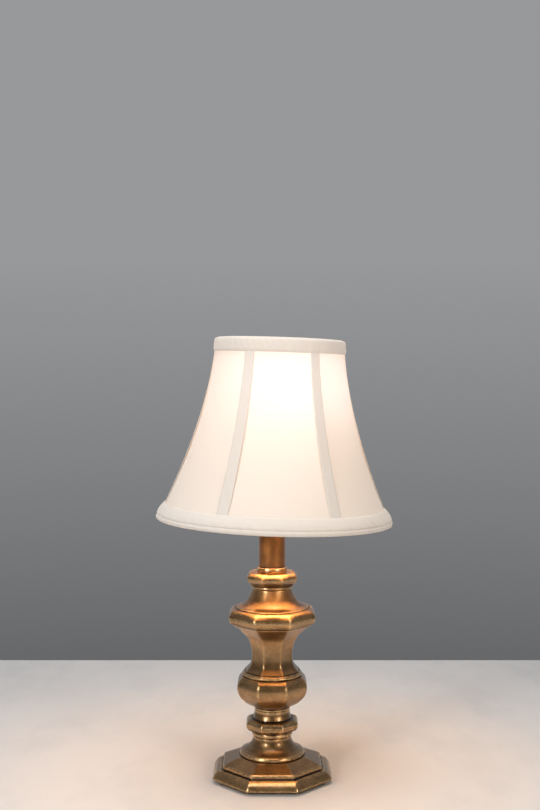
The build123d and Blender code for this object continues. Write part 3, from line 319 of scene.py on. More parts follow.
def casting_grid(outline, corner, angles):
    """Points and patina of a casting: its outline carried round, on flats or on a circle as marked, with
    a slow unevenness of a few hundredths of a millimetre from the hand grinding."""
    r, z, mark, groove = (v[:, None] for v in outline)
    safe = np.maximum(r, 1.2 * corner * MM)
    flats = eight_sided(safe, corner * MM, angles[None, :]) / safe
    reach = r * (1 + mark * (flats - 1))
    off = np.abs((angles[None, :] + np.pi / 8) % (np.pi / 4) - np.pi / 8)
    edge = mark * np.clip((off - CORNER_FROM) / CORNER_FADE, 0, 1)
    wave = (np.sin(3 * angles[None, :] + 170 * z) + np.sin(5 * angles[None, :] - 260 * z + 1.3)
            + np.sin(11 * angles[None, :] + 90 * z + 0.4))
    reach = reach + np.minimum(GRINDING_WAVE * wave, 0.02 * r)
    grid = np.stack([reach * np.cos(angles), reach * np.sin(angles), z + 0 * angles[None, :]], axis=-1)
    return grid, np.clip(groove - 0.45 * edge, -1, 1.5) + 0 * angles[None, :]


def brass_finish(name, tint=(1.0, 1.0, 1.0)):
    """Antiqued brass: dark in the grooves, rubbed bright on the edges, brown and gold in clouds over the
    rest, with pits and fine scratches from the casting, under a thin lacquer."""
    made, tree, shader = new_material(name)
    links = tree.links
    # The values kept on the points darken the brass: real patina in the grooves and seams, and painted shade
    # on the feet under the band, at the tube's foot and round the lower bell's rim.
    groove = node(tree, "ShaderNodeAttribute", attribute_name="patina_and_shade")
    clouds = noise(tree, 14 * MM, 5.0)
    streaks = noise(tree, 3.0 * MM, 4.0, (1, 1, 1.8))
    grain = noise(tree, 0.7 * MM, 3.0)
    mottle = node(tree, "ShaderNodeMath", {1: 0.25, 2: 0.0}, operation="MULTIPLY_ADD")
    links.new(streaks, mottle.inputs[0])
    mottled = node(tree, "ShaderNodeMath", {1: 0.75}, operation="MULTIPLY_ADD")
    links.new(clouds, mottled.inputs[0])
    links.new(mottle.outputs["Value"], mottled.inputs[2])
    body = ramp(tree, mottled.outputs["Value"],
                [(place, tuple(c * t for c, t in zip(colour, tint)) + (1,))
                 for place, colour in ((0.32, BRASS_DULL), (0.50, BRASS_MID), (0.68, BRASS_LIGHT))])
    deep = node(tree, "ShaderNodeMapRange", {"From Min": 0.05, "From Max": 0.9})
    links.new(groove.outputs["Fac"], deep.inputs["Value"])
    dirty = node(tree, "ShaderNodeMix", {"B": BRASS_DEEP}, data_type="RGBA")
    links.new(deep.outputs["Result"], dirty.inputs["Factor"])
    links.new(body, dirty.inputs["A"])
    high = node(tree, "ShaderNodeMapRange", {"From Min": -0.15, "From Max": -0.8, "To Max": 0.75})
    links.new(groove.outputs["Fac"], high.inputs["Value"])
    patchy = node(tree, "ShaderNodeMath", operation="MULTIPLY")
    links.new(high.outputs["Result"], patchy.inputs[0])
    worn = node(tree, "ShaderNodeMapRange", {"From Min": 0.35, "From Max": 0.6})
    links.new(streaks, worn.inputs["Value"])
    links.new(worn.outputs["Result"], patchy.inputs[1])
    rubbed = node(tree, "ShaderNodeMix", {"B": BRASS_RUBBED}, data_type="RGBA")
    links.new(patchy.outputs["Value"], rubbed.inputs["Factor"])
    links.new(dirty.outputs["Result"], rubbed.inputs["A"])
    links.new(rubbed.outputs["Result"], shader.inputs["Base Color"])
    rough = node(tree, "ShaderNodeMapRange",
                 {"From Min": 0.3, "From Max": 0.7, "To Min": ROUGH_LOW, "To Max": ROUGH_HIGH})
    links.new(clouds, rough.inputs["Value"])
    rougher = node(tree, "ShaderNodeMath", {1: 0.22}, operation="MULTIPLY_ADD")
    links.new(deep.outputs["Result"], rougher.inputs[0])
    links.new(rough.outputs["Result"], rougher.inputs[2])
    links.new(rougher.outputs["Value"], shader.inputs["Roughness"])
    place = node(tree, "ShaderNodeTexCoord")
    pits = node(tree, "ShaderNodeTexVoronoi", {"Scale": 1 / (2.6 * MM), "Randomness": 1.0})
    links.new(place.outputs["Object"], pits.inputs["Vector"])
    pit = node(tree, "ShaderNodeMapRange", {"From Min": 0.0, "From Max": 0.13, "To Min": -0.8, "To Max": 0.0})
    links.new(pits.outputs["Distance"], pit.inputs["Value"])
    relief = node(tree, "ShaderNodeMath", {1: 0.35}, operation="MULTIPLY_ADD")
    links.new(grain, relief.inputs[0])
    links.new(pit.outputs["Result"], relief.inputs[2])
    bump = node(tree, "ShaderNodeBump", {"Strength": 0.22, "Distance": 0.10 * MM})
    links.new(relief.outputs["Value"], bump.inputs["Height"])
    links.new(bump.outputs["Normal"], shader.inputs["Normal"])
    shader.inputs["Metallic"].default_value = 1.0
    shader.inputs["Coat Weight"].default_value = LACQUER
    shader.inputs["Coat Roughness"].default_value = LACQUER_ROUGH
    return made


def cast_brass(name, stands_for, foot, runs, finish, edge=0.40, corner=4.0, ends=True):
    """One casting of the column: outline, skin, seams darkened where it meets its neighbours."""
    r, z, mark, groove = outline_of(runs, edge)
    if ends:
        seam = np.exp(-(z - z.min()) / SEAM_WIDTH) + np.exp(-(z.max() - z) / SEAM_WIDTH)
        groove = groove + 1.4 * seam
    grid, patina_and_shade = casting_grid((r, z + foot, mark, groove), corner, corner_angles())
    piece = link_object(name, skin(name, grid, cap=True, values=patina_and_shade), finish)
    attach(piece, "root")
    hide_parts(stands_for)
    return piece


antique_brass = brass_finish("antique_brass")
BAND_Z, BAND_A, BAND_H, BAND_EDGE_A = 3.6, 57.6, 8.8, 50.4
RIDGE_A, RIDGE_H = 48.0, 4.0
SLOPE_A, DECK_Z = 33.0, 22.3
CORE_R, CORE_Z = 49.5, 9.8
BOSS_R, BOSS_Z, ROOF_Z, BORE_R = 14.0, 14.5, 17.5, 5.3
band_top = BAND_Z + BAND_H
base_runs = [
    (0, [(BORE_R, BOSS_Z), (BOSS_R, BOSS_Z)]),
    (0, [(BOSS_R, BOSS_Z), (BOSS_R, ROOF_Z)]),
    (0, [(BOSS_R, ROOF_Z), (2 * BOSS_R, ROOF_Z)]),
    (0, [(2 * BOSS_R, ROOF_Z), (CORE_R, CORE_Z)]),
    (0, [(CORE_R, CORE_Z), (CORE_R, BAND_Z)]),
    (1, [(CORE_R + 1.5, BAND_Z), (BAND_A - 0.3, BAND_Z)]),
    (1, [(BAND_A - 0.3, BAND_Z), (BAND_A, BAND_Z + 1.0)]),
    (1, [(BAND_A, BAND_Z + 1.0), (BAND_A - 1.4, BAND_Z + 4.0), (BAND_A - 4.0, BAND_Z + 6.9),
         (BAND_EDGE_A, band_top)]),
    (1, [(BAND_EDGE_A, band_top), (RIDGE_A + 0.1, band_top - 0.3)]),
    (1, [(RIDGE_A, band_top - 0.3), (RIDGE_A, band_top + 2.8)]),
    (1, [(RIDGE_A, band_top + 2.8), (RIDGE_A - 0.3, band_top + 3.6), (RIDGE_A - 0.9, band_top + RIDGE_H)]),
    (1, [(RIDGE_A - 0.9, band_top + RIDGE_H), (SLOPE_A, DECK_Z)]),
    (0, [(SLOPE_A, DECK_Z), (BORE_R, DECK_Z)]),
]
BELL_RIM_R, BELL_SHADOW = 31.8, 0.9
r, z, mark, groove = outline_of(base_runs, 0.45)
# Painted shadow: the deck darkened in a narrow ring round where the lower bell's rim stands on it, added to
# the groove values.
groove = groove + 1.2 * np.exp(-np.abs(r - BELL_RIM_R * MM) / (BELL_SHADOW * MM)) * (z > 20 * MM)
grid, patina_and_shade = casting_grid((r, z, mark, groove), 4.0, corner_angles())
base = link_object("base_casting", skin("base_casting", grid, close_rows=True, values=patina_and_shade), antique_brass)
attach(base, "root")

FOOT_A, FOOT_GAP, PAD_T, FOOT_ROUND = 53.8, 22.6, 0.8, 0.6
foot_angle = np.pi / 4 - np.arctan2(FOOT_GAP, FOOT_A)
turn = np.linspace(-foot_angle, foot_angle, 41)[:, None]
outer = eight_sided(np.full((1, 1), FOOT_A * MM), 4.0 * MM, turn)
section_in = np.array([0, 0, 0, FOOT_ROUND, 1, 1, 1, 1])[None, :]
section_r = np.where(np.arange(8) < 4, 0.0, 1.0)[None, :]
inset = np.array([0, 0, 0, FOOT_ROUND, -FOOT_ROUND, 0, 0, 0])[None, :] * MM
level = np.array([BAND_Z + 0.1, 2.4, PAD_T + FOOT_ROUND, PAD_T, PAD_T, PAD_T + FOOT_ROUND, 2.4, BAND_Z + 0.1])
reach = (CORE_R * MM) * (1 - section_r) + outer * section_r + inset
feet = [base]
for quarter in range(4):
    angle = turn + np.pi / 4 + quarter * np.pi / 2
    grid = np.stack([reach * np.cos(angle), reach * np.sin(angle),
                     level[None, :] * MM + 0 * angle], axis=-1)
    # Painted shade on the feet: darkest at the top where each foot tucks under the band, and darker on its
    # inner side under the base. The lower outer edge is lighter, as rubbed.
    painted_shade_and_wear = np.tile(np.array([1.2, 0.6, 0, 0, -0.3, -0.5, 0.3, 1.4]), (len(turn), 1))
    foot = link_object(f"bracket_foot_{quarter + 1}",
                       skin("bracket_foot", grid, cap=True, values=painted_shade_and_wear), antique_brass)
    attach(foot, "root")
    feet.append(foot)
for piece in feet:
    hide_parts("base_foot")

# ---- lower bell ----------------------------------------------------------------------------------
# Round brass casting, turned on the outside: a thin rim that stands on the base and a flare up to the
# neck.  It is threaded on the rod and held by the nut that clamps the whole column.
BELL_R, BELL_RIM_H, BELL_NECK_R, BELL_H = 31.8, 4.0, 18.7, 18.6
cast_brass("lower_bell_casting", "lower_bell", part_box("lower_bell")[0][2], [
    (0, [(0.5 * BELL_R, 0), (BELL_R - 0.6, 0)]),
    (0, [(BELL_R - 0.6, 0), (BELL_R, 0.45 * BELL_RIM_H), (BELL_R - 0.9, BELL_RIM_H)]),
    (0, [(BELL_R - 0.9, BELL_RIM_H), (24.4, 7.4), (20.4, 11.8), (BELL_NECK_R, 16.3), (BELL_NECK_R, BELL_H)]),
    (0, [(BELL_NECK_R, BELL_H), (0.5 * BELL_NECK_R, BELL_H)]),
], antique_brass)

# ---- lower knop ----------------------------------------------------------------------------------
# Brass casting: a turned bead, eight ground flats drawn out to an edge, and a round hollow and plain
# neck above them.  It stands on the lower bell and is clamped with it.
BEAD_R, BEAD_H, KNOP_A, KNOP_TOP, SCOTIA_R, KNOP_H = 19.6, 5.4, 25.2, 16.9, 17.3, 26.0
cast_brass("lower_knop_casting", "lower_knop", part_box("lower_knop")[0][2], [
    (0, [(0.5 * BEAD_R, 0), (BEAD_R - 1.1, 0)]),
    (0, [(BEAD_R - 1.1, 0), (BEAD_R, 0.9), (BEAD_R + 0.5, 0.55 * BEAD_H), (BEAD_R - 0.5, BEAD_H)]),
    (1, [(BEAD_R - 0.2, BEAD_H + 0.2), (KNOP_A - 2.0, BEAD_H + 1.4), (KNOP_A - 0.4, BEAD_H + 3.6)]),
    (1, [(KNOP_A - 0.4, BEAD_H + 3.6), (KNOP_A, BEAD_H + 7.4)]),
    (1, [(KNOP_A, BEAD_H + 7.4), (KNOP_A - 1.6, KNOP_TOP - 1.2), (BEAD_R + 0.5, KNOP_TOP)]),
    (0, [(BEAD_R - 0.3, KNOP_TOP), (SCOTIA_R + 0.9, KNOP_TOP + 2.7), (SCOTIA_R, KNOP_TOP + 5.6)]),
    (0, [(SCOTIA_R, KNOP_TOP + 5.6), (SCOTIA_R, KNOP_H)]),
    (0, [(SCOTIA_R, KNOP_H), (0.5 * SCOTIA_R, KNOP_H)]),
], antique_brass, edge=0.36, corner=3.0)

# ---- ball knop -----------------------------------------------------------------------------------
# Brass casting: a narrow turned collar under a bulb shape with eight ground flats, widest above its
# middle.  The vase stands on its flat top.
COLLAR_R, COLLAR_H, BALL_A, BALL_SEAT, BALL_H = 17.2, 3.0, 33.9, 29.0, 33.2
cast_brass("ball_knop_casting", "ball_knop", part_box("ball_knop")[0][2], [
    (0, [(0.5 * COLLAR_R, 0), (COLLAR_R, 0)]),
    (0, [(COLLAR_R, 0), (COLLAR_R + 0.6, 0.5 * COLLAR_H), (COLLAR_R, COLLAR_H - 0.2)]),
    (1, [(COLLAR_R + 0.4, COLLAR_H), (25.9, 8.1), (32.2, 15.6), (BALL_A, 24.1), (32.2, 29.9),
         (BALL_SEAT, BALL_H)]),
    (1, [(BALL_SEAT, BALL_H), (0.5 * BALL_SEAT, BALL_H)]),
], antique_brass, edge=0.5, corner=5.5)

# ---- vase ----------------------------------------------------------------------------------------
# Brass casting: a turned bead at its foot, then eight ground flats drawn in to a waist and flared out
# on top to carry the drum.
VASE_BEAD_R, VASE_BEAD_H, WAIST_A, VASE_TOP_A, VASE_H = 29.4, 4.4, 19.8, 35.0, 50.0
cast_brass("vase_casting", "vase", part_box("vase")[0][2], [
    (0, [(0.5 * VASE_BEAD_R, 0), (VASE_BEAD_R - 1.0, 0)]),
    (0, [(VASE_BEAD_R - 1.0, 0), (VASE_BEAD_R, 0.45 * VASE_BEAD_H), (VASE_BEAD_R - 1.8, VASE_BEAD_H)]),
    (1, [(26.6, VASE_BEAD_H - 0.3), (21.2, 10.6), (WAIST_A, 21.3), (23.3, 37.3), (31.1, 46.4),
         (VASE_TOP_A, VASE_H)]),
    (1, [(VASE_TOP_A, VASE_H), (0.5 * VASE_TOP_A, VASE_H)]),
], antique_brass, edge=0.42, corner=4.5)

# ---- drum ----------------------------------------------------------------------------------------
# Brass casting: the wide eight-sided flange, with a small step under its lip and a rolled shoulder that
# goes over from flats to round where the upper bell stands on it.
DRUM_UNDER, DRUM_LIP, DRUM_A, DRUM_TOP, DRUM_H = 36.4, 38.6, 42.1, 36.8, 16.7
cast_brass("drum_casting", "flange_drum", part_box("flange_drum")[0][2], [
    (1, [(0.5 * DRUM_UNDER, 0), (DRUM_UNDER, 0)]),
    (1, [(DRUM_UNDER, 0), (DRUM_UNDER + 0.8, 1.5), (DRUM_LIP, 2.5)]),
    (1, [(DRUM_LIP, 2.5), (DRUM_A - 1.1, 3.3)]),
    (1, [(DRUM_A - 1.7, 3.3), (DRUM_A - 0.3, 6.6), (DRUM_A, 9.2), (DRUM_A - 0.7, 12.0)]),
    ((1, 0.3), [(DRUM_A - 0.7, 12.0), (DRUM_A - 2.4, 14.8), (DRUM_A - 4.2, 16.2), (DRUM_TOP, DRUM_H)]),
    (0, [(DRUM_TOP - 0.5, DRUM_H), (0.5 * DRUM_TOP, DRUM_H)]),
], antique_brass, edge=0.42, corner=4.5)

# ---- upper bell ----------------------------------------------------------------------------------
# Round brass casting, turned, with a wide flare over the drum.  It lies under the shade, so the lamp's
# own light falls on it.
UPPER_R, UPPER_NECK, UPPER_H = 35.8, 19.4, 18.7
cast_brass("upper_bell_casting", "upper_bell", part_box("upper_bell")[0][2], [
    (0, [(0.5 * UPPER_R, 0), (UPPER_R - 0.2, 0)]),
    (0, [(UPPER_R - 0.2, 0), (UPPER_R - 0.2, 0.7)]),
    (0, [(UPPER_R - 0.2, 0.7), (28.6, 3.4), (24.2, 7.7), (21.4, 13.1), (UPPER_NECK, 18.0)]),
    (0, [(UPPER_NECK, 18.0), (UPPER_NECK, UPPER_H)]),
    (0, [(UPPER_NECK, UPPER_H), (0.5 * UPPER_NECK, UPPER_H)]),
], antique_brass)

# ---- cap knop ------------------------------------------------------------------------------------
# Brass casting: a small turned bead, eight ground flats, and a flat top with a turned line inside which
# the ring of the tube sits.
CAP_NECK, CAP_BEAD_H, CAP_A, CAP_TOP, CAP_H = 19.4, 3.8, 24.6, 21.4, 16.0
cast_brass("cap_knop_casting", "cap_knop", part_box("cap_knop")[0][2], [
    (0, [(0.5 * CAP_NECK, 0), (CAP_NECK, 0)]),
    (0, [(CAP_NECK, 0), (CAP_NECK + 1.2, 0.5 * CAP_BEAD_H), (CAP_NECK + 0.4, CAP_BEAD_H - 0.1)]),
    (1, [(CAP_NECK + 1.0, CAP_BEAD_H), (CAP_A - 1.6, CAP_BEAD_H + 3.2), (CAP_A, CAP_BEAD_H + 6.7)]),
    ((1, 0.3), [(CAP_A, CAP_BEAD_H + 6.7), (CAP_A - 0.8, CAP_BEAD_H + 9.8), (CAP_TOP + 0.6, CAP_H - 0.2)]),
    (0, [(CAP_TOP, CAP_H - 0.1), (CAP_TOP - 0.5, CAP_H - 0.7)]),
    (0, [(CAP_TOP - 0.5, CAP_H - 0.7), (CAP_TOP - 1.0, CAP_H)]),
    (0, [(CAP_TOP - 1.0, CAP_H), (0.5 * CAP_TOP, CAP_H)]),
], antique_brass, edge=0.34, corner=3.2, ends=False)

# ---- ring, candle tube and top plate -------------------------------------------------------------
# A turned brass ring that seats the tube, and a drawn brass tube tinted redder: painted warm light from the
# lit shade above.  The tube goes over the rod and is closed by the top plate, which takes the same tint.
RING_R, RING_H, TUBE_R = 14.7, 5.0, 13.0
cast_brass("tube_ring_turned", "tube_ring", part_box("tube_ring")[0][2], [
    (0, [(0.9 * TUBE_R, 0), (RING_R - 0.5, 0)]),
    (0, [(RING_R - 0.5, 0), (RING_R, 0.5 * RING_H), (RING_R - 0.5, RING_H)]),
    (0, [(RING_R - 0.5, RING_H), (TUBE_R + 0.1, RING_H)]),
    (0, [(TUBE_R + 0.1, RING_H), (TUBE_R + 0.1, 1.5)]),
], antique_brass, edge=0.3)

TUBE_WALL = 1.1
tube_low, tube_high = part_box("candle_tube")
# The tint paints the lit shade's warm light into the tube's brass.
tube_warm_light_brass = brass_finish("tube_brass", tint=(1.02, 0.70, 0.42))
z = np.linspace(tube_low[2], tube_high[2], 60)
around = np.linspace(0, 2 * np.pi, 96, endpoint=False)
path_r = np.concatenate([np.full(60, TUBE_R), np.full(60, TUBE_R - TUBE_WALL)]) * MM
path_z = np.concatenate([z, z[::-1]])
grid = np.stack([path_r[:, None] * np.cos(around), path_r[:, None] * np.sin(around),
                 path_z[:, None] + 0 * around], axis=-1)
# Painted shade: the tube darkened over its lowest few millimetres, fading just above where it stands in the
# ring.
painted_shade_at_ring = 1.1 * np.exp(-(path_z - tube_low[2] - 3.5 * MM) / (1.0 * MM)).clip(0, 1)
tube = link_object("candle_tube_drawn",
                   skin("candle_tube", grid, close_rows=True, values=painted_shade_at_ring[:, None] + 0 * around), tube_warm_light_brass)
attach(tube, "root")
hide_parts("candle_tube")
frame["nodes"]["top_plate"].data.materials[0] = tube_warm_light_brass


# ---- plain metal, felt and plastic pieces that stay as they are packed ---------------------------
# The steel hardware that clamps the column from below, the felt glued under the feet, the bushing, the
# parts of the socket and the bulb's base, and the wires of the shade's frame.
def plain_finish(name, colour, metal=0.0, rough=0.4, size=3.0, depth=0.05, spread=0.15):
    """One colour in light and dark clouds, with a fine relief."""
    made, tree, shader = new_material(name)
    clouds = noise(tree, size * MM, 4.0)
    low = tuple(c * (1 - spread) for c in colour) + (1,)
    high = tuple(min(1, c * (1 + spread)) for c in colour) + (1,)
    tree.links.new(ramp(tree, clouds, [(0.3, low), (0.7, high)]), shader.inputs["Base Color"])
    bump = node(tree, "ShaderNodeBump", {"Strength": 0.3, "Distance": depth * MM})
    tree.links.new(noise(tree, 0.2 * size * MM, 3.0), bump.inputs["Height"])
    tree.links.new(bump.outputs["Normal"], shader.inputs["Normal"])
    shader.inputs["Metallic"].default_value = metal
    shader.inputs["Roughness"].default_value = rough
    return made


def dress(finish, *names):
    """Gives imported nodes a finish."""
    for name in names:
        slots = frame["nodes"][name].data.materials
        slots.clear()
        slots.append(finish)


dress(plain_finish("zinc_steel", (0.60, 0.60, 0.58), 1.0, 0.35), "threaded_rod", "base_washer",
      "lock_washer", "bottom_nut", "cap_set_screw", "terminal_screws")
dress(plain_finish("green_felt", (0.10, 0.085, 0.06), 0.0, 0.95, 1.0, 0.3, 0.3), "foot_pads")
dress(plain_finish("brown_bushing", (0.06, 0.03, 0.015), 0.0, 0.45), "cord_bushing")
dress(plain_finish("black_phenolic", (0.02, 0.018, 0.016), 0.0, 0.25), "socket_body", "switch_knob")
dress(plain_finish("fibre_paper", (0.40, 0.31, 0.20), 0.0, 0.85), "socket_liner")
dress(plain_finish("bare_brass", (0.75, 0.56, 0.26), 1.0, 0.3), "screw_shell", "center_contact",
      "switch_shaft", "bulb_contact", "socket_cap", "socket_shell")
dress(plain_finish("black_glass", (0.01, 0.01, 0.01), 0.0, 0.1), "bulb_insulator")
dress(plain_finish("drawn_aluminium", (0.80, 0.80, 0.80), 1.0, 0.3), "bulb_base")
dress(plain_finish("clear_stem", (0.85, 0.86, 0.86), 0.0, 0.1), "bulb_stem")
dress(plain_finish("tungsten_wire", (0.30, 0.29, 0.28), 1.0, 0.4), "filament")
dress(plain_finish("white_wire", (0.80, 0.79, 0.75), 0.0, 0.35), "top_ring", "bottom_ring", "rib_wires")
dress(plain_finish("brass_wire", (0.75, 0.56, 0.26), 1.0, 0.28), "cross_wire", "bulb_clip")

# ---- bulb ----------------------------------------------------------------------------------------
# Blown glass, coated white inside and lit, cemented in an aluminium screw base.  It carries the shade,
# whose clip grips the globe.
SOCKET_LEAN = np.radians(3.0)
GLOBE_R = 30 * MM
shade_joint = next(joint for joint in frame["joints"] if joint["name"] == "shade_tilt")
globe = np.array(shade_joint["pos_m"])
BULB_STRENGTH = 28.0
NECK_R, NECK_DROP = 12.6 * MM, 56.0 * MM


def on_axis(radius, height, around, origin, lean):
    """Points turned round an axis that leans from +Z towards +X, through an origin."""
    side = np.array((np.cos(lean), 0, -np.sin(lean)))
    up = np.array((np.sin(lean), 0, np.cos(lean)))
    x = (radius * np.cos(around))[..., None] * side
    y = (radius * np.sin(around))[..., None] * np.array((0.0, 1.0, 0.0))
    return origin + x + y + (height + 0 * around)[..., None] * up


latitude = np.linspace(np.radians(-40), np.radians(89.5), 50)
globe_line = np.stack([GLOBE_R * np.cos(latitude), GLOBE_R * np.sin(latitude)], axis=-1)
neck_line = smooth_line([(NECK_R, -NECK_DROP), (1.05 * NECK_R, -0.83 * NECK_DROP),
                         (1.35 * NECK_R, -0.56 * NECK_DROP), tuple(globe_line[0])])
line = np.concatenate([neck_line[:-1], globe_line])
around = np.linspace(0, 2 * np.pi, 64, endpoint=False)[None, :]
grid = on_axis(line[:, :1] + 0 * around, line[:, 1:], around + 0 * line[:, :1], globe, SOCKET_LEAN)
glass_finish, tree, shader = new_material("lit_glass")
shader.inputs["Base Color"].default_value = (0.95, 0.93, 0.9, 1)
shader.inputs["Roughness"].default_value = 0.15
haze = noise(tree, 12 * MM, 3.0)
warm = ramp(tree, haze, [(0.3, (1.0, 0.50, 0.19, 1)), (0.7, (1.0, 0.56, 0.24, 1))])
tree.links.new(warm, shader.inputs["Emission Color"])
shader.inputs["Emission Strength"].default_value = BULB_STRENGTH
glass = link_object("bulb_envelope", skin("bulb_envelope", grid, cap=True), glass_finish)
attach(glass, "bulb")
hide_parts("bulb_glass")

# ---- shade: cover and lining ---------------------------------------------------------------------
# Six panels of white woven cloth, sewn together along the ribs and stretched over the wire frame, over
# a smooth lining; the bulb glows through them, most where it is nearest.
SHADE_LEAN, SHADE_TURN = np.radians(1.9), np.radians(2.4)
SHADE_H, SHADE_BELOW = 177.8 * MM, 129.0 * MM
SHADE_TOP_R, SHADE_BOTTOM_R, FLARE = 62.3 * MM, 113.6 * MM, 1.62
PANEL_DRAW = 0.06
RIB_AT = np.radians([0, 60, 120, 180, 241.2, 298.4, 360])
CLOTH_END = 0.75 * MM
GLOW_AT, GLOW_FALL = 68 * MM, 1.35
GLOW_FROM = globe + np.array((11.0, 0.0, 2.0)) * MM
LINING_IN = 4.3 * MM


def rib_radius(level):
    """Outside of the cover at a rib: the top radius plus a power of what is left to the top."""
    return SHADE_TOP_R + (SHADE_BOTTOM_R - SHADE_TOP_R) * np.maximum(1 - level / SHADE_H, 0) ** FLARE


def cloth_radius(level, around):
    """The cover between ribs: drawn in towards the chord, most half way up, least by the rings."""
    across = np.interp(around, RIB_AT, np.arange(7)) % 1.0
    bow = 1 - (2 * across - 1) ** 2
    draw = PANEL_DRAW * np.maximum(np.sin(np.pi * level / SHADE_H), 0) ** 1.5
    return rib_radius(level) * (1 - draw * bow)


def in_shade(radius, level, around):
    """Points of the shade, from radius, height over the lower edge and angle from the first rib."""
    side = np.array((np.cos(SHADE_LEAN), 0, -np.sin(SHADE_LEAN)))
    up = np.array((np.sin(SHADE_LEAN), 0, np.cos(SHADE_LEAN)))
    ahead = np.array((0.0, 1.0, 0.0))
    x = (radius * np.cos(around + SHADE_TURN))[..., None] * side
    y = (radius * np.sin(around + SHADE_TURN))[..., None] * ahead
    return globe + x + y + (level - SHADE_BELOW + 0 * around)[..., None] * up


def uv_from(mesh, u, v):
    """Keeps two numbers a point, in metres, as the piece's UV map."""
    layer = mesh.uv_layers.new(name="weave")
    corner = np.zeros(len(mesh.loops), dtype=np.int32)
    mesh.loops.foreach_get("vertex_index", corner)
    pair = np.stack([u.ravel()[corner], v.ravel()[corner]], axis=-1)
    layer.data.foreach_set("uv", pair.astype(np.float32).ravel())


def lit_cloth(name, colour, share, near=(1.0, 0.77, 0.66), far=(1.0, 0.66, 0.43), thread=0.45):
    """White cloth with a weave, lit through from the bulb: the glow falls off with the distance from the
    middle of the globe and where the cloth is seen aslant, and share is how much the layers let through."""
    made, tree, shader = new_material(name)
    links = tree.links
    slub = noise(tree, 2.5 * MM, 3.0, (1, 1, 0.2))
    low = tuple(c * 0.97 for c in colour) + (1,)
    links.new(ramp(tree, slub, [(0.3, low), (0.7, tuple(colour) + (1,))]), shader.inputs["Base Color"])
    place = node(tree, "ShaderNodeTexCoord")
    away = node(tree, "ShaderNodeVectorMath", {1: tuple(GLOW_FROM)}, operation="DISTANCE")
    links.new(place.outputs["Object"], away.inputs[0])
    fall = node(tree, "ShaderNodeMath", {0: GLOW_AT}, operation="DIVIDE")
    links.new(away.outputs["Value"], fall.inputs[1])
    slant = node(tree, "ShaderNodeLayerWeight", {"Blend": 0.5})
    spread = node(tree, "ShaderNodeMapRange", {"To Min": 1.0, "To Max": 0.72})
    links.new(slant.outputs["Facing"], spread.inputs["Value"])
    spent = node(tree, "ShaderNodeMath", {1: GLOW_FALL}, operation="POWER")
    links.new(fall.outputs["Value"], spent.inputs[0])
    glow = node(tree, "ShaderNodeMath", operation="MULTIPLY")
    links.new(spent.outputs["Value"], glow.inputs[0])
    links.new(spread.outputs["Result"], glow.inputs[1])
    strength = node(tree, "ShaderNodeMath", {1: share}, operation="MULTIPLY")
    links.new(glow.outputs["Value"], strength.inputs[0])
    tint = ramp(tree, glow.outputs["Value"], [(0.42, tuple(far) + (1,)), (1.0, tuple(near) + (1,))])
    links.new(tint, shader.inputs["Emission Color"])
    links.new(strength.outputs["Value"], shader.inputs["Emission Strength"])
    weave = node(tree, "ShaderNodeUVMap", uv_map="weave")
    warp = node(tree, "ShaderNodeTexWave", {"Scale": 0.314 / (thread * MM), "Distortion": 0.6},
                bands_direction="X")
    weft = node(tree, "ShaderNodeTexWave", {"Scale": 0.314 / (thread * MM), "Distortion": 0.6},
                bands_direction="Y")
    links.new(weave.outputs["UV"], warp.inputs["Vector"])
    links.new(weave.outputs["UV"], weft.inputs["Vector"])
    both = node(tree, "ShaderNodeMath", operation="ADD")
    links.new(warp.outputs["Fac"], both.inputs[0])
    links.new(weft.outputs["Fac"], both.inputs[1])
    bump = node(tree, "ShaderNodeBump", {"Strength": 0.25, "Distance": 0.06 * MM})
    links.new(both.outputs["Value"], bump.inputs["Height"])
    links.new(bump.outputs["Normal"], shader.inputs["Normal"])
    shader.inputs["Roughness"].default_value = 0.85
    shader.inputs["Sheen Weight"].default_value = 0.25
    return made


def cloth_tube(name, inset, finish, node_name, thick, outward):
    """The cover or the lining: one sheet carried round the six panels, given its thickness, with
    small pulls where the cloth is sewn to the rings."""
    level = np.linspace(CLOTH_END, SHADE_H - CLOTH_END, 90)[:, None]
    around = np.linspace(0, 2 * np.pi, 216, endpoint=False)[None, :]
    near_ring = np.exp(-level / (14 * MM)) + np.exp(-(SHADE_H - level) / (12 * MM))
    pull = 0.10 * MM * near_ring * (np.sin(37 * around) + np.sin(53 * around + 2))
    pull = pull + 0.12 * MM * np.sin(np.pi * level / SHADE_H) * np.sin(12 * around + 30 * level / SHADE_H)
    radius = cloth_radius(level, around) - inset + np.minimum(pull, 0.05 * MM) - 0.1 * MM
    mesh = skin(name, in_shade(radius, level, around + 0 * level))
    rise, spread = np.diff(level[:, 0]), np.diff(rib_radius(level[:, 0]))
    slant = np.concatenate([[0], np.cumsum(np.hypot(rise, spread))])
    uv_from(mesh, radius * around, slant[:, None] + 0 * around)
    piece = link_object(name, mesh, finish)
    wall = piece.modifiers.new("wall", "SOLIDIFY")
    wall.thickness = thick
    wall.offset = -1.0 if outward else 1.0
    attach(piece, "shade")
    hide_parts(node_name)
    return piece


COVER_WHITE = (0.57, 0.54, 0.508)
cloth_tube("shade_cover_cloth", 0.0, lit_cloth("cover_cloth", COVER_WHITE, 0.72),
           "shade_cover", 0.6 * MM, True)
lining_finish = lit_cloth("lining_cloth", (0.82, 0.80, 0.76), 3.0, (1.0, 0.52, 0.20), (1.0, 0.46, 0.16), 0.3)
cloth_tube("shade_lining_cloth", LINING_IN, lining_finish, "shade_lining", 0.4 * MM, True)

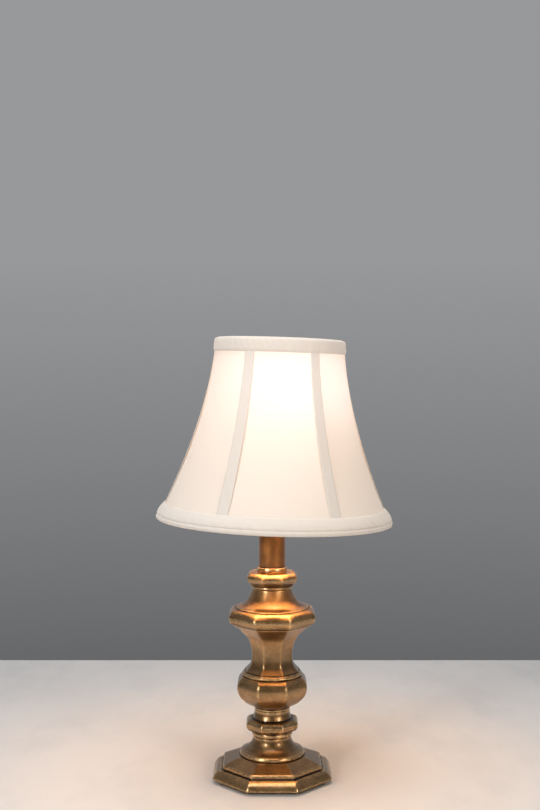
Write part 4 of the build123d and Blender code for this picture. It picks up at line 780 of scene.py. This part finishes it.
# ---- shade: tapes over the ribs ------------------------------------------------------------------
# A folded strip of the cover's cloth glued over each rib seam.  It is three layers thick, so the bulb
# hardly shows through, and its ends go under the trims.
TAPE_TOP_W, TAPE_LOW_W, TAPE_T = 9.4 * MM, 12.2 * MM, 0.6 * MM
TAPE_FROM, TAPE_TO = 10.5 * MM, 166.0 * MM
tape_finish = lit_cloth("tape_cloth", (0.565, 0.54, 0.51), 0.29)
level = np.linspace(TAPE_FROM, TAPE_TO, 80)[:, None]
across = np.array([-1, -0.97, -0.8, -0.4, 0, 0.4, 0.8, 0.97,
                   1, 0.97, 0.8, 0.4, 0, -0.4, -0.8, -0.97])[None, :]
lift = np.array([0.3, 0.75, 1, 0.94, 0.92, 0.94, 1, 0.75, 0.3, 0, 0, 0, 0, 0, 0, 0])[None, :]
width = TAPE_LOW_W + (TAPE_TOP_W - TAPE_LOW_W) * level / SHADE_H
for rib, middle in enumerate(RIB_AT[:-1]):
    half = width / 2 * (1 + 0.025 * np.sin(60 * level / SHADE_H + rib))
    outward = rib_radius(level) - 0.1 * MM + lift * TAPE_T
    sideways = across * half
    radius = np.hypot(outward, sideways)
    grid = in_shade(radius, level + 0 * across, middle + np.arctan2(sideways, outward))
    tape = skin(f"rib_tape_{rib + 1}", grid, cap=True)
    uv_from(tape, np.append((sideways + 0 * level).ravel(), [0, 0]),
            np.append((level + 0 * across).ravel(), [0, 0]))
    piece = link_object(f"rib_tape_{rib + 1}", tape, tape_finish)
    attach(piece, "shade")
    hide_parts("rib_tapes")


# ---- shade: trims over the rings -----------------------------------------------------------------
# Strips of the same cloth, cut on the bias, folded over the top and bottom rings and stitched: a soft
# roll, a seam line, and slight puckers.
def trim_ring(name, node_name, outline, finish, pucker):
    """A rolled strip: a closed section (radius, height over the lower edge) carried round the shade, its
    outer side puckered by slanting waves."""
    section = np.array(outline, float) * MM
    closed = np.concatenate([section, section[:1]])
    t = np.concatenate([[0], np.cumsum(np.linalg.norm(np.diff(closed, axis=0), axis=1))])
    even = np.linspace(0, t[-1], int(t[-1] / STEP) + 1)[:-1]
    r, z = (softened(np.interp(even, t, closed[:, i]), 0.3 * MM, True) for i in (0, 1))
    around = np.linspace(0, 2 * np.pi, 288, endpoint=False)[None, :]
    outer = np.clip((r - r.mean()) / (0.5 * np.ptp(r)), 0, 1)[:, None]
    wave = (np.sin(61 * around + 420 * z[:, None]) * 0.5 + np.sin(97 * around - 300 * z[:, None] + 1)
            * 0.3 + np.sin(23 * around + 2) * 0.4)
    radius = r[:, None] + outer * pucker * MM * np.minimum(wave, 0.4)
    mesh = skin(name, in_shade(radius, z[:, None] + 0 * around, around + 0 * r[:, None]), close_rows=True)
    uv_from(mesh, r.mean() * around + 0 * r[:, None], even[:, None] + 0 * around)
    piece = link_object(name, mesh, finish)
    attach(piece, "shade")
    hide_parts(node_name)
    return piece


H = SHADE_H / MM
TOP_R = SHADE_TOP_R / MM
BOTTOM_R = SHADE_BOTTOM_R / MM
trim_ring("top_trim_roll", "top_trim", [
    (TOP_R + 0.6, H - 14.2), (TOP_R + 1.6, H - 13.6), (TOP_R + 2.2, H - 11.8), (TOP_R + 2.1, H - 8),
    (TOP_R + 1.9, H - 4.5), (TOP_R + 1.5, H - 2.2), (TOP_R + 0.4, H - 0.8), (TOP_R - 1.5, H - 0.1),
    (TOP_R - 3.6, H), (TOP_R - 4.9, H - 0.5), (TOP_R - 5.4, H - 2), (TOP_R - 5.4, H - 6),
    (TOP_R - 4.9, H - 6), (TOP_R - 4.8, H - 1.1), (TOP_R + 0.0, H - 1.2), (TOP_R + 0.2, H - 8),
], lit_cloth("top_trim_cloth", (0.58, 0.555, 0.52), 0.23), 0.5)
trim_ring("bottom_trim_roll", "bottom_trim", [
    (BOTTOM_R - 7.6, 14.9), (BOTTOM_R - 6.4, 15.7), (BOTTOM_R - 4.9, 15.0), (BOTTOM_R - 3.0, 13.0),
    (BOTTOM_R - 0.9, 10.2), (BOTTOM_R + 0.5, 7.4), (BOTTOM_R + 0.9, 5.6), (BOTTOM_R + 0.4, 5.0),
    (BOTTOM_R + 1.1, 4.4), (BOTTOM_R + 1.7, 2.9), (BOTTOM_R + 1.5, 1.3), (BOTTOM_R + 0.6, 0.3),
    (BOTTOM_R - 3, 0), (BOTTOM_R - 7.0, 0.2), (BOTTOM_R - 7.8, 1.2), (BOTTOM_R - 7.8, 6),
    (BOTTOM_R - 7.3, 6), (BOTTOM_R - 7.1, 1.0), (BOTTOM_R - 0.1, 0.9), (BOTTOM_R - 2.6, 6.5),
    (BOTTOM_R - 5.6, 12.0),
], lit_cloth("bottom_trim_cloth", (0.56, 0.54, 0.515), 0.46), 0.5)
